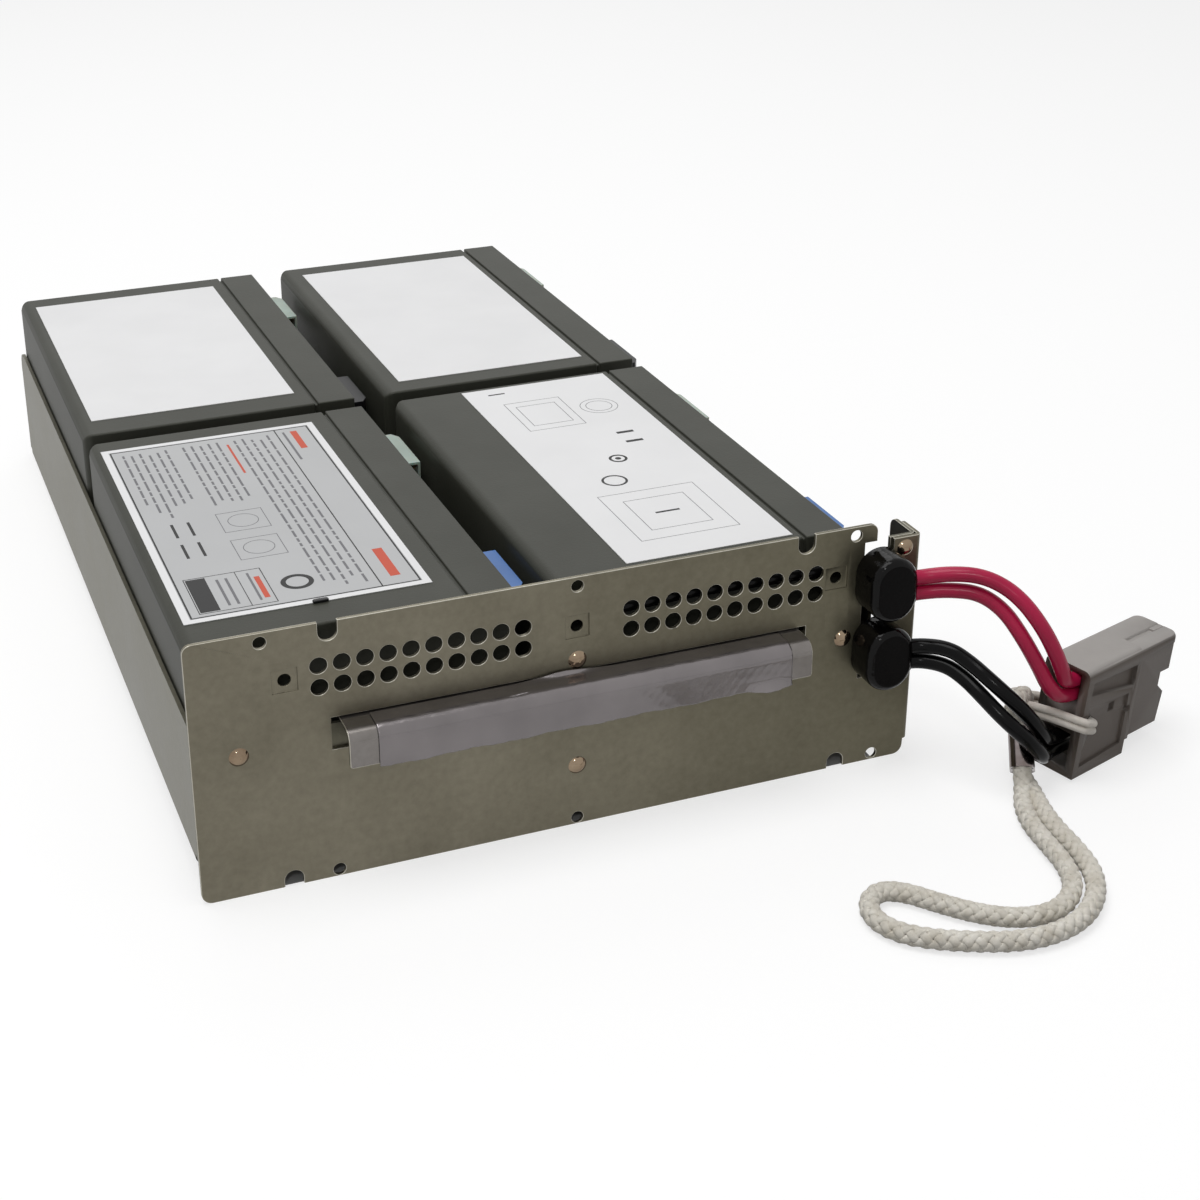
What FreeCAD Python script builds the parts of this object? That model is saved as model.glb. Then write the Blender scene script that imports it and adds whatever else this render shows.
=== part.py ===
import FreeCAD, Part
import math
import os

import Sketcher

# A four battery cartridge for an uninterruptible power supply: steel tray, front panel with a pull
# handle, four sealed batteries on their sides, and cables that end in a two pole connector.
# Millimetres. X runs along the panel, Y into the cartridge and Z up, from the panel's left foot.

doc = FreeCAD.newDocument("BatteryCartridge")
sheet = doc.addObject("Spreadsheet::Sheet", "Sizes")

drivingSizes = {
    # front panel
    "panelOverhang": 12.0,
    "panelHeight": 81.0,
    "panelSheet": 1.2,
    "panelBend": 0.6,
    "panelCorner": 2.5,
    "footCorner": 3.2,
    "stripDrop": 6.0,
    "stripWidth": 9.4,
    "tabInset": 15.2,
    "leadOpeningInset": 19.2,
    "leadOpeningDrop": 5.7,
    "leadOpeningFoot": 30.0,
    "sideFoldDepth": 12.0,
    "sideFoldFoot": 5.0,
    "ventBore": 5.0,
    "ventPitch": 6.57,
    "ventCount": 10,
    "ventRowGap": 6.6,
    "ventRowDrop": 19.5,
    "leftVentStart": 36.6,
    "rightVentInset": 35.21,
    "screwBore": 3.7,
    "topScrewLeft": 20.9,
    "middleShift": 0.6,
    "topScrewRightInset": 22.3,
    "topScrewDrop": 2.9,
    "dimpleScrewLeft": 27.1,
    "dimpleScrewRightInset": 28.3,
    "dimpleScrewDrop": 15.6,
    "dimpleSize": 7.2,
    "dimpleDepth": 0.5,
    "footScrewLeft": 39.6,
    "footScrewRightInset": 12.8,
    "footScrewHeight": 2.2,
    "footNotchBore": 5.5,
    "footNotchLeft": 26.4,
    "footNotchRightInset": 25.4,
    "topNotchBore": 5.5,
    "topNotchLeft": 39.6,
    "topNotchRightInset": 38.7,
    "topNotchDepth": 5.8,
    "slotLeft": 39.3,
    "slotRightInset": 37.9,
    "slotFoot": 41.3,
    "slotTop": 51.4,
    # tray
    "trayRightGap": 10.1,
    "trayLength": 318.4,
    "trayRaise": 11.0,
    "traySheet": 1.2,
    "trayBend": 0.8,
    "trayRelief": 3.2,
    "sideWallTop": 56.5,
    "sideWallCorner": 8.0,
    "frontWallTop": 48.8,
    "rearLipTop": 29.0,
    "cableCutWidth": 8.8,
    "cableCutFoot": 28.0,
    "cableCutDepth": 5.0,
    # side bracket
    "bracketWidth": 10.2,
    "bracketDepth": 13.0,
    "bracketDrop": 5.8,
    "bracketHeight": 19.2,
    "bracketGap": 0.2,
    "bracketCorner": 3.0,
    # pull handle
    "handleLeftGap": 2.4,
    "handleRightGap": 2.3,
    "handleReach": 9.4,
    "handleSheet": 1.2,
    "handleBend": 2.7,
    "handleFoot": 39.8,
    "handleFlangeRise": 7.2,
    "handleCorner": 1.0,
    "filmLeftInset": 8.3,
    "filmRightInset": 6.8,
    "filmSheet": 0.3,
    "filmStart": 0.7,
    "filmOverhang": 0.9,
    # rivets
    "rivetShank": 3.2,
    "rivetHead": 5.6,
    "rivetHeadRise": 1.4,
    "rivetTail": 4.4,
    "rivetTailRise": 1.2,
    "rivetSideLeft": 13.2,
    "rivetRightInset": 25.1,
    "rivetSideHeight": 44.7,
    "rivetUpperHeight": 54.8,
    "rivetLowerHeight": 20.0,
    "rivetStripInset": 5.5,
    "rivetStripDrop": 9.7,
    # batteries
    "batteryLength": 151.0,
    "batteryThickness": 65.0,
    "caseHeight": 80.0,
    "lidHeight": 14.0,
    "caseCorner": 3.5,
    "lidGroove": 1.0,
    "ventStripRise": 0.6,
    "ventStripInset": 46.0,
    "ventStripEdge": 14.0,
    "leftColumn": 1.6,
    "columnGap": 11.3,
    "frontGap": 4.3,
    "rowGap": 8.0,
    "labelSheet": 0.2,
    "rearLeftLabelLeft": 4.9,
    "rearLeftLabelFront": 12.1,
    "rearLeftLabelWidth": 70.6,
    "rearLeftLabelDepth": 128.6,
    "rearRightLabelLeft": 7.6,
    "rearRightLabelFront": 9.0,
    "rearRightLabelWidth": 69.8,
    "rearRightLabelDepth": 132.0,
    "frontLeftLabelLeft": 3.0,
    "frontLeftLabelFront": 12.3,
    "frontLeftLabelWidth": 71.0,
    "frontLeftLabelDepth": 130.2,
    "frontRightLabelLeft": 24.3,
    "frontRightLabelFront": 2.9,
    "frontRightLabelWidth": 53.3,
    "frontRightLabelDepth": 145.6,
    # terminals and their covers
    "bladeWidth": 6.35,
    "bladeSheet": 0.8,
    "bladeReach": 7.2,
    "bladeBore": 1.7,
    "bladeInset": 18.2,
    "bladeHeight": 55.0,
    "coverInset": 12.7,
    "coverLength": 26.5,
    "coverReach": 8.4,
    "coverHeight": 6.4,
    "coverWall": 0.8,
    "coverTaper": 3.2,
    "leadDiameter": 3.8,
    "leadBend": 11.5,
    "inletShift": 2.0,
    "upperInlet": 66.0,
    "secondInlet": 59.9,
    "thirdInlet": 43.0,
    "fourthInlet": 37.2,
    # boots and cables
    "cableDiameter": 4.7,
    "cableLead": 3.5,
    "bootWidth": 15.3,
    "bootHeight": 20.7,
    "bootReach": 11.0,
    "bootRim": 2.4,
    "bootInset": 14.2,
    "bootOutletLength": 8.2,
    "bootOutletReach": 6.0,
    "outletDrop": 1.5,
    "upperBootHeight": 63.0,
    "lowerBootHeight": 40.0,
    # connector
    "connectorLength": 47.5,
    "connectorThickness": 15.9,
    "connectorHeight": 36.8,
    "connectorReach": 31.27,
    "connectorFront": 19.9,
    "connectorRise": 2.0,
    "connectorYaw": 20.1,
    "connectorDip": 2.5,
    "connectorLean": 2.9,
    "rearBodyLength": 26.5,
    "noseFoot": 4.9,
    "lowerNoseTop": 15.4,
    "lowerNoseEnd": 45.6,
    "upperNoseFoot": 23.4,
    "noseThroat": 42.0,
    "noseStep": 1.0,
    "noseStepStart": 1.5,
    "lowerNoseSlope": 1.0,
    "cavityDepth": 20.0,
    "cavityWidth": 9.9,
    "cavityFarWall": 3.0,
    "upperCavityFoot": 24.4,
    "upperCavityTop": 35.0,
    "lowerCavityFoot": 3.2,
    "lowerCavityTop": 14.7,
    "socketDepth": 17.0,
    "socketWidth": 8.6,
    "socketHeight": 7.0,
    "socketFarWall": 3.6,
    "upperSocketFoot": 26.4,
    "lowerSocketFoot": 6.6,
    "cordHoleStart": 3.9,
    "cordHoleWidth": 3.4,
    "cordHoleFoot": 15.0,
    "cordHoleTop": 20.0,
    "topGrooveStart": 28.0,
    "topGrooveFarWall": 7.9,
    "topGrooveWidth": 2.4,
    "topGrooveDepth": 2.9,
    "recessDepth": 1.5,
    "panelRecessDepth": 0.8,
    "rearBand": 2.7,
    "recessFoot": 24.6,
    "recessRise": 3.7,
    "recessTop": 32.6,
    "panelRecessFoot": 3.4,
    "panelRecessTop": 22.4,
    "squareDentStart": 14.5,
    "squareDentFoot": 18.6,
    "squareDent": 3.0,
    "roundDentPlace": 24.6,
    "roundDentHeight": 16.8,
    "roundDent": 2.5,
    "topRidge": 3.4,
    "topStep": 0.7,
    "topRound": 2.2,
    "noseRound": 3.2,
    "throatChamfer": 3.2,
    "collarReach": 1.0,
    "contactSheet": 2.0,
    "contactWidth": 5.4,
    "contactStart": 6.0,
    "contactReach": 40.0,
    "contactClearance": 0.3,
    # rope
    "ropeDiameter": 5.9,
    "tieCordDiameter": 2.4,
    "sleeveWall": 0.8,
    "sleeveMouth": 2.0,
}

for row, (alias, number) in enumerate(drivingSizes.items(), start=1):
    sheet.set("A%d" % row, alias)
    sheet.set("B%d" % row, str(number))
    sheet.setAlias("B%d" % row, alias)
doc.recompute()


class Size:
    """A length that keeps its value together with the expression that ties it to the sheet."""

    def __init__(self, value, text):
        self.value = float(value)
        self.text = text

    def __add__(self, other):
        other = asSize(other)
        return Size(self.value + other.value, "(%s + %s)" % (self.text, other.text))

    def __radd__(self, other):
        return asSize(other) + self

    def __sub__(self, other):
        other = asSize(other)
        return Size(self.value - other.value, "(%s - %s)" % (self.text, other.text))

    def __rsub__(self, other):
        return asSize(other) - self

    def __mul__(self, factor):
        return Size(self.value * factor, "(%s * %s)" % (self.text, factor))

    def __rmul__(self, factor):
        return self * factor

    def __truediv__(self, divisor):
        return Size(self.value / divisor, "(%s / %s)" % (self.text, divisor))

    def __neg__(self):
        return self * -1


def asSize(number):
    """The number itself when it is a Size, or else a plain number as one."""
    return number if isinstance(number, Size) else Size(number, repr(float(number)))


def size(alias):
    """A driving size of the sheet."""
    return Size(sheet.get(alias), "Sizes." + alias)


def bind(thing, path, length):
    """Tie a property to a size."""
    thing.setExpression(path, asSize(length).text)


# Rows and columns of the batteries. The tray takes two columns, and the panel stands out past it.
batteryHeight = size("caseHeight") + size("lidHeight")
leftColumn = size("leftColumn")
rightColumn = leftColumn + batteryHeight + size("columnGap")
trayWidth = rightColumn + batteryHeight + size("trayRightGap")
panelWidth = trayWidth + size("panelOverhang")
panelHeight = size("panelHeight")
panelMiddle = panelWidth / 2 + size("middleShift")

# The part stands with the middle of its box's foot at the origin.
datumX = -(panelWidth / 2)
frontReach = size("handleReach") + size("filmSheet")
trayBack = size("panelSheet") + size("trayLength")
datumY = -((trayBack - frontReach) / 2)
datumPlace = FreeCAD.Placement(FreeCAD.Vector(datumX.value, datumY.value, 0), FreeCAD.Rotation())

trayFloor = size("trayRaise") + size("traySheet")
frontRow = size("panelSheet") + size("traySheet") + size("frontGap")
rearRow = frontRow + size("batteryLength") + size("rowGap")
batteryTop = trayFloor + size("batteryThickness")
bladeLevel = trayFloor + size("bladeHeight")

# The handle's shelf lies in the panel's slot, and the boots stand before the lead opening.
slotRight = panelWidth - size("slotRightInset")
handleLeft = size("slotLeft") + size("handleLeftGap")
handleRight = slotRight - size("handleRightGap")
handleShelf = size("slotTop") - size("panelBend")
bootMiddle = panelWidth - size("bootInset")
bootOutlet = bootMiddle + size("bootOutletLength")


def startBody(name, x=0, y=0, z=0):
    """A body placed at a corner of its own, counted from the panel's left foot."""
    body = doc.addObject("PartDesign::Body", name)
    body.Label = name
    bind(body, "Placement.Base.x", datumX + x)
    bind(body, "Placement.Base.y", datumY + y)
    bind(body, "Placement.Base.z", asSize(z))
    return body


def originPlane(body, role):
    """One of the body's own origin planes."""
    return [feature for feature in body.Origin.OriginFeatures if feature.Role == role][0]


def newSketch(body, name, role, start):
    """A sketch on a plane of the body, at a distance along that plane's axis."""
    sketch = body.newObject("Sketcher::SketchObject", name)
    sketch.AttachmentSupport = [(originPlane(body, role), "")]
    sketch.MapMode = "FlatFace"
    offset = -asSize(start) if role == "XZ_Plane" else asSize(start)
    bind(sketch, "AttachmentOffset.Base.z", offset)
    return sketch


def addPad(body, name, role, start, length, draw):
    """Material from one distance along the plane's axis over a length."""
    sketch = newSketch(body, name + "Sketch", role, start)
    draw(sketch)
    feature = body.newObject("PartDesign::Pad", name)
    feature.Profile = sketch
    feature.Reversed = role == "XZ_Plane"
    bind(feature, "Length", length)
    return feature


def addPocket(body, name, role, start, length, draw):
    """A cut from one distance along the plane's axis over a length."""
    sketch = newSketch(body, name + "Sketch", role, start)
    draw(sketch)
    feature = body.newObject("PartDesign::Pocket", name)
    feature.Profile = sketch
    feature.Reversed = role != "XZ_Plane"
    bind(feature, "Length", length)
    return feature


def place(sketch, geometry, point, x, y):
    """Tie a point of the sketch to its distances from the origin."""
    for kind, length in (("DistanceX", asSize(x)), ("DistanceY", asSize(y))):
        index = sketch.addConstraint(Sketcher.Constraint(kind, -1, 1, geometry, point, length.value))
        bind(sketch, "Constraints[%d]" % index, length)


def placeAlong(sketch, kind, geometry, point, length):
    """Tie a point of the sketch to one distance from the origin."""
    length = asSize(length)
    index = sketch.addConstraint(Sketcher.Constraint(kind, -1, 1, geometry, point, length.value))
    bind(sketch, "Constraints[%d]" % index, length)


def setRadius(sketch, geometry, radius):
    """Tie the radius of an arc."""
    radius = asSize(radius)
    index = sketch.addConstraint(Sketcher.Constraint("Radius", geometry, radius.value))
    bind(sketch, "Constraints[%d]" % index, radius)


def flat(x, y):
    """A point in a sketch's plane."""
    return FreeCAD.Vector(asSize(x).value, asSize(y).value, 0)


def drawOutline(sketch, points):
    """A closed outline of straight lines, each corner tied to its place."""
    count = len(points)
    lines = []
    for index, point in enumerate(points):
        following = points[(index + 1) % count]
        lines.append(sketch.addGeometry(Part.LineSegment(flat(*point), flat(*following)), False))
    for index, point in enumerate(points):
        sketch.addConstraint(Sketcher.Constraint("Coincident", lines[index - 1], 2, lines[index], 1))
        place(sketch, lines[index], 1, *point)


def drawBox(sketch, left, right, foot, top):
    """A rectangle between two distances each way."""
    drawOutline(sketch, [(left, foot), (right, foot), (right, top), (left, top)])


def drawCircle(sketch, x, y, diameter):
    """A round hole or bar."""
    radius = asSize(diameter) / 2
    circle = sketch.addGeometry(Part.Circle(flat(x, y), FreeCAD.Vector(0, 0, 1), radius.value), False)
    setRadius(sketch, circle, radius)
    place(sketch, circle, 3, x, y)


def drawNotch(sketch, x, middle, radius, openEnd):
    """A slot with one round end, open at the other end above or below."""
    upward = asSize(openEnd).value > asSize(middle).value
    start, end = (math.pi, 2 * math.pi) if upward else (0, math.pi)
    circle = Part.Circle(flat(x, middle), FreeCAD.Vector(0, 0, 1), asSize(radius).value)
    arc = sketch.addGeometry(Part.ArcOfCircle(circle, start, end), False)
    near, far = (x + radius, x - radius) if upward else (x - radius, x + radius)
    side = sketch.addGeometry(Part.LineSegment(flat(near, middle), flat(near, openEnd)), False)
    cap = sketch.addGeometry(Part.LineSegment(flat(near, openEnd), flat(far, openEnd)), False)
    back = sketch.addGeometry(Part.LineSegment(flat(far, openEnd), flat(far, middle)), False)
    sketch.addConstraint(Sketcher.Constraint("Tangent", arc, 2, side, 1))
    sketch.addConstraint(Sketcher.Constraint("Coincident", side, 2, cap, 1))
    sketch.addConstraint(Sketcher.Constraint("Coincident", cap, 2, back, 1))
    sketch.addConstraint(Sketcher.Constraint("Tangent", back, 2, arc, 1))
    sketch.addConstraint(Sketcher.Constraint("Vertical", side))
    sketch.addConstraint(Sketcher.Constraint("Horizontal", cap))
    place(sketch, arc, 3, x, middle)
    setRadius(sketch, arc, radius)
    placeAlong(sketch, "DistanceY", cap, 1, openEnd)


def drawFoldedSection(sketch, corners, sheetThickness, insideBends):
    """Section of a folded sheet. The corners lie on one face, and the other is to their left."""
    legs = []
    for first, second in zip(corners, corners[1:]):
        step = flat(*second) - flat(*first)
        step.normalize()
        legs.append((first, second, step))
    faces = []
    for side in (0, 1):
        faces.append(drawFoldedFace(sketch, legs, sheetThickness, insideBends, side))
    for atEnd in (False, True):
        first = (faces[0][1], 2) if atEnd else (faces[0][0], 1)
        second = (faces[1][1], 2) if atEnd else (faces[1][0], 1)
        corner = corners[-1] if atEnd else corners[0]
        leg = legs[-1] if atEnd else legs[0]
        ends = [sketch.getPoint(*first), sketch.getPoint(*second)]
        cap = sketch.addGeometry(Part.LineSegment(*ends), False)
        sketch.addConstraint(Sketcher.Constraint("Coincident", cap, 1, *first))
        sketch.addConstraint(Sketcher.Constraint("Coincident", cap, 2, *second))
        if abs(leg[2].x) > 0.5:
            sketch.addConstraint(Sketcher.Constraint("Vertical", cap))
            placeAlong(sketch, "DistanceX", cap, 1, corner[0])
        else:
            sketch.addConstraint(Sketcher.Constraint("Horizontal", cap))
            placeAlong(sketch, "DistanceY", cap, 1, corner[1])


def drawFoldedFace(sketch, legs, sheetThickness, insideBends, side):
    """One face of a folded section: straight legs joined by tangent arcs."""
    shift = asSize(sheetThickness) * side
    levels = []
    for first, second, step in legs:
        if abs(step.x) > 0.5:
            levels.append(first[1] + shift * (1 if step.x > 0 else -1))
        else:
            levels.append(first[0] - shift * (1 if step.y > 0 else -1))
    turns = []
    for (_, _, before), (_, _, after) in zip(legs, legs[1:]):
        turns.append(1 if before.x * after.y - before.y * after.x > 0 else -1)
    radii = []
    for turn, bend in zip(turns, insideBends):
        outside = (side == 0) == (turn > 0)
        radii.append(bend + sheetThickness if outside else bend)
    points = [levelPoint(legs[0], levels[0], legs[0][0])]
    for index in range(len(turns)):
        points.append(crossing(legs[index], levels[index], levels[index + 1]))
    points.append(levelPoint(legs[-1], levels[-1], legs[-1][1]))
    lines = []
    for index, (_, _, step) in enumerate(legs):
        start = FreeCAD.Vector(points[index])
        end = FreeCAD.Vector(points[index + 1])
        if index > 0:
            start = start + step * radii[index - 1].value
        if index < len(turns):
            end = end - step * radii[index].value
        line = sketch.addGeometry(Part.LineSegment(start, end), False)
        lines.append(line)
        horizontal = abs(step.x) > 0.5
        sketch.addConstraint(Sketcher.Constraint("Horizontal" if horizontal else "Vertical", line))
        placeAlong(sketch, "DistanceY" if horizontal else "DistanceX", line, 1, levels[index])
    for index, turn in enumerate(turns):
        radius = radii[index].value
        before, after = legs[index][2], legs[index + 1][2]
        centre = points[index + 1] - before * radius + after * radius
        sweepStart = math.atan2(-after.y, -after.x)
        sweepEnd = math.atan2(before.y, before.x)
        if turn < 0:
            sweepStart, sweepEnd = sweepEnd, sweepStart
        if sweepEnd < sweepStart:
            sweepEnd += 2 * math.pi
        circle = Part.Circle(centre, FreeCAD.Vector(0, 0, 1), radius)
        arc = sketch.addGeometry(Part.ArcOfCircle(circle, sweepStart, sweepEnd), False)
        arcStart, arcEnd = (1, 2) if turn > 0 else (2, 1)
        sketch.addConstraint(Sketcher.Constraint("Tangent", lines[index], 2, arc, arcStart))
        sketch.addConstraint(Sketcher.Constraint("Tangent", arc, arcEnd, lines[index + 1], 1))
        setRadius(sketch, arc, radii[index])
    return lines[0], lines[-1]


def levelPoint(leg, level, corner):
    """The end of a face's outer leg."""
    level = asSize(level).value
    return flat(corner[0], level) if abs(leg[2].x) > 0.5 else flat(level, corner[1])


def crossing(leg, level, following):
    """Where a leg's face would meet the next leg's face."""
    level, following = asSize(level).value, asSize(following).value
    return flat(following, level) if abs(leg[2].x) > 0.5 else flat(level, following)


def roundEdges(body, name, radius, middles):
    """Round the edges whose middles lie nearest to the given points."""
    doc.recompute()
    base = body.Tip
    names = []
    for middle in middles:
        target = FreeCAD.Vector(*[asSize(value).value for value in middle])
        gaps = [(edge.CenterOfMass - target).Length for edge in base.Shape.Edges]
        nearest = gaps.index(min(gaps))
        if gaps[nearest] > 1.5:
            raise ValueError("%s: no edge near %s" % (name, target))
        names.append("Edge%d" % (nearest + 1))
    feature = body.newObject("PartDesign::Fillet", name)
    feature.Base = (base, names)
    bind(feature, "Radius", radius)
    return feature


def addShape(name, shape):
    """A sub-part whose shape is worked out here, placed with the rest."""
    feature = doc.addObject("Part::Feature", name)
    feature.Label = name
    feature.Shape = shape
    feature.Placement = datumPlace
    return feature


def tubePath(points, limit):
    """Straight runs joined by tangent arcs, as large as the runs and the limit allow."""
    places = [FreeCAD.Vector(*point) for point in points]
    edges = []
    radii = []
    start = places[0]
    for before, corner, after in zip(places, places[1:], places[2:]):
        inward, outward = corner - before, after - corner
        shorter = min(inward.Length, outward.Length)
        inward.normalize()
        outward.normalize()
        halfTurn = inward.getAngle(outward) / 2
        radius = min(0.45 * shorter / math.tan(halfTurn), limit)
        reach = radius * math.tan(halfTurn)
        arcStart, arcEnd = corner - inward * reach, corner + outward * reach
        bulge = outward - inward
        bulge.normalize()
        middle = corner + bulge * (radius / math.cos(halfTurn) - radius)
        edges.append(Part.LineSegment(start, arcStart).toShape())
        edges.append(Part.Arc(arcStart, middle, arcEnd).toShape())
        radii.append(round(radius, 1))
        start = arcEnd
    edges.append(Part.LineSegment(start, places[-1]).toShape())
    return Part.Wire(edges), radii


def addTube(name, points, diameter, limit=60.0):
    """A round cord or cable along its route."""
    path, radii = tubePath(points, limit)
    along = FreeCAD.Vector(*points[1]) - FreeCAD.Vector(*points[0])
    disc = Part.Circle(FreeCAD.Vector(*points[0]), along, diameter / 2)
    section = Part.Face(Part.Wire(disc.toShape()))
    tube = path.makePipe(section)
    expected = math.pi * diameter ** 2 / 4 * path.Length
    print("%s length %.1f volume ratio %.4f radii %s" % (name, path.Length, tube.Volume / expected, radii))
    return addShape(name, tube)


def makeFrontPanel():
    """Flat steel plate with a lead opening at the right and its right edge folded back."""
    body = startBody("front_panel")
    thickness = size("panelSheet")
    foldStart = panelWidth - thickness - size("panelBend")
    top, stripTop = panelHeight, panelHeight - size("stripDrop")
    openingTop, openingFoot = panelHeight - size("leadOpeningDrop"), size("leadOpeningFoot")
    openingLeft = panelWidth - size("leadOpeningInset")
    outline = [
        (0, 0), (foldStart, 0), (foldStart, stripTop), (panelWidth - size("stripWidth"), stripTop),
        (panelWidth - size("stripWidth"), openingFoot), (openingLeft, openingFoot), (openingLeft, openingTop),
        (panelWidth - size("tabInset"), openingTop), (panelWidth - size("tabInset"), top), (0, top),
    ]
    addPad(body, "Plate", "XZ_Plane", 0, thickness, lambda sketch: drawOutline(sketch, outline))
    foldCorners = [(foldStart - 1, 0), (panelWidth, 0), (panelWidth, size("sideFoldDepth"))]
    addPad(body, "SideFold", "XY_Plane", size("sideFoldFoot"), stripTop - size("sideFoldFoot"),
           lambda sketch: drawFoldedSection(sketch, foldCorners, thickness, [size("panelBend")]))
    middle = thickness / 2
    tabRight = panelWidth - size("tabInset")
    roundEdges(body, "TopCorners", size("panelCorner"), [(0, middle, top), (tabRight, middle, top)])
    roundEdges(body, "FootCorners", size("footCorner"), [(0, middle, 0), (foldStart, middle, 0)])
    foldEdge = panelWidth - thickness / 2
    roundEdges(body, "FoldCorners", size("panelCorner"),
               [(foldEdge, size("sideFoldDepth"), stripTop),
                (foldEdge, size("sideFoldDepth"), size("sideFoldFoot"))])
    cutPanelHoles(body, thickness)
    return body


def cutPanelHoles(body, thickness):
    """Vents, screw holes, notches and the slot of the handle."""
    rowLength = size("ventPitch") * (size("ventCount").value - 1)
    ventRow = panelHeight - size("ventRowDrop")
    rightStart = panelWidth - size("rightVentInset") - rowLength
    for name, start in (("LeftVents", size("leftVentStart")), ("RightVents", rightStart)):
        def drawVentPair(sketch, x=start):
            for row in (0, 1):
                drawCircle(sketch, x, ventRow + size("ventRowGap") * row, size("ventBore"))
        vents = addPocket(body, name, "XZ_Plane", 0, thickness, drawVentPair)
        addRow(body, name + "Row", vents, size("ventPitch"), size("ventCount"))
    topRow = panelHeight - size("topScrewDrop")
    dimpleRow = panelHeight - size("dimpleScrewDrop")
    screws = [
        (size("topScrewLeft"), topRow),
        (panelMiddle, topRow),
        (panelWidth - size("topScrewRightInset"), topRow),
        (size("dimpleScrewLeft"), dimpleRow),
        (panelMiddle, dimpleRow),
        (panelWidth - size("dimpleScrewRightInset"), dimpleRow),
        (size("footScrewLeft"), size("footScrewHeight")),
        (panelMiddle, size("footScrewHeight")),
        (panelWidth - size("footScrewRightInset"), size("footScrewHeight")),
    ]

    def drawScrews(sketch):
        for x, z in screws:
            drawCircle(sketch, x, z, size("screwBore"))

    def drawRivetHoles(sketch):
        for x, z in rivetPlaces():
            drawCircle(sketch, x, z, size("rivetShank"))

    def drawDimples(sketch):
        half = size("dimpleSize") / 2
        for x in (size("dimpleScrewLeft"), panelMiddle, panelWidth - size("dimpleScrewRightInset")):
            drawBox(sketch, x - half, x + half, dimpleRow - half, dimpleRow + half)

    def drawFootNotches(sketch):
        radius = size("footNotchBore") / 2
        for x in (size("footNotchLeft"), panelWidth - size("footNotchRightInset")):
            drawNotch(sketch, x, size("footScrewHeight"), radius, -radius)

    def drawTopNotches(sketch):
        radius = size("topNotchBore") / 2
        for x in (size("topNotchLeft"), panelWidth - size("topNotchRightInset")):
            drawNotch(sketch, x, panelHeight - size("topNotchDepth") + radius, radius, panelHeight + radius)

    addPocket(body, "Dimples", "XZ_Plane", 0, size("dimpleDepth"), drawDimples)
    addPocket(body, "ScrewHoles", "XZ_Plane", 0, thickness, drawScrews)
    addPocket(body, "RivetHoles", "XZ_Plane", 0, thickness, drawRivetHoles)
    addPocket(body, "FootNotches", "XZ_Plane", 0, thickness, drawFootNotches)
    addPocket(body, "TopNotches", "XZ_Plane", 0, thickness, drawTopNotches)
    addPocket(body, "HandleSlot", "XZ_Plane", 0, thickness, lambda sketch: drawBox(
        sketch, size("slotLeft"), slotRight, size("slotFoot"), size("slotTop")))


def addRow(body, name, feature, pitch, count):
    """A feature repeated along X."""
    doc.recompute()
    row = body.newObject("PartDesign::LinearPattern", name)
    row.Originals = [feature]
    row.Direction = (feature.Profile[0], ["H_Axis"])
    row.Length = pitch.value * (count.value - 1)
    row.Occurrences = int(count.value)
    bind(row, "Length", Size(pitch.value * (count.value - 1), "(%s * (%s - 1))" % (pitch.text, count.text)))
    bind(row, "Occurrences", count)
    body.Tip = row
    return row


def rivetPlaces():
    """Middles of the five rivets on the panel."""
    return [
        (size("rivetSideLeft"), size("rivetSideHeight")),
        (panelWidth - size("rivetRightInset"), size("rivetSideHeight")),
        (panelMiddle, size("rivetUpperHeight")),
        (panelMiddle, size("rivetLowerHeight")),
        (panelWidth - size("rivetStripInset"), panelHeight - size("rivetStripDrop")),
    ]


def makeRivets():
    """Domed blind rivets through the panel and the sheet behind it."""
    grip = size("panelSheet") + size("traySheet")
    rivets = []
    for index, (x, z) in enumerate(rivetPlaces(), start=1):
        body = startBody("rivet_%d" % index, x, 0, z)
        head, rise = size("rivetHead") / 2, size("rivetHeadRise")
        shank, tail = size("rivetShank") / 2, size("rivetTail") / 2
        back = grip + size("rivetTailRise")
        outline = [
            (-rise, 0), (back, 0), (back, tail * 0.8), (back - size("rivetTailRise") / 2, tail),
            (grip, tail), (grip, shank), (0, shank), (0, head),
        ]
        sketch = newSketch(body, "Section", "YZ_Plane", 0)
        drawDomedOutline(sketch, outline, (head.value ** 2 + rise.value ** 2) / (2 * rise.value))
        turn = body.newObject("PartDesign::Revolution", "Turned")
        turn.Profile = sketch
        turn.ReferenceAxis = (sketch, ["H_Axis"])
        turn.Angle = 360
        rivets.append(body)
    group = doc.addObject("Part::Compound", "rivets")
    group.Label = "rivets"
    group.Links = rivets
    return group


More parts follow.
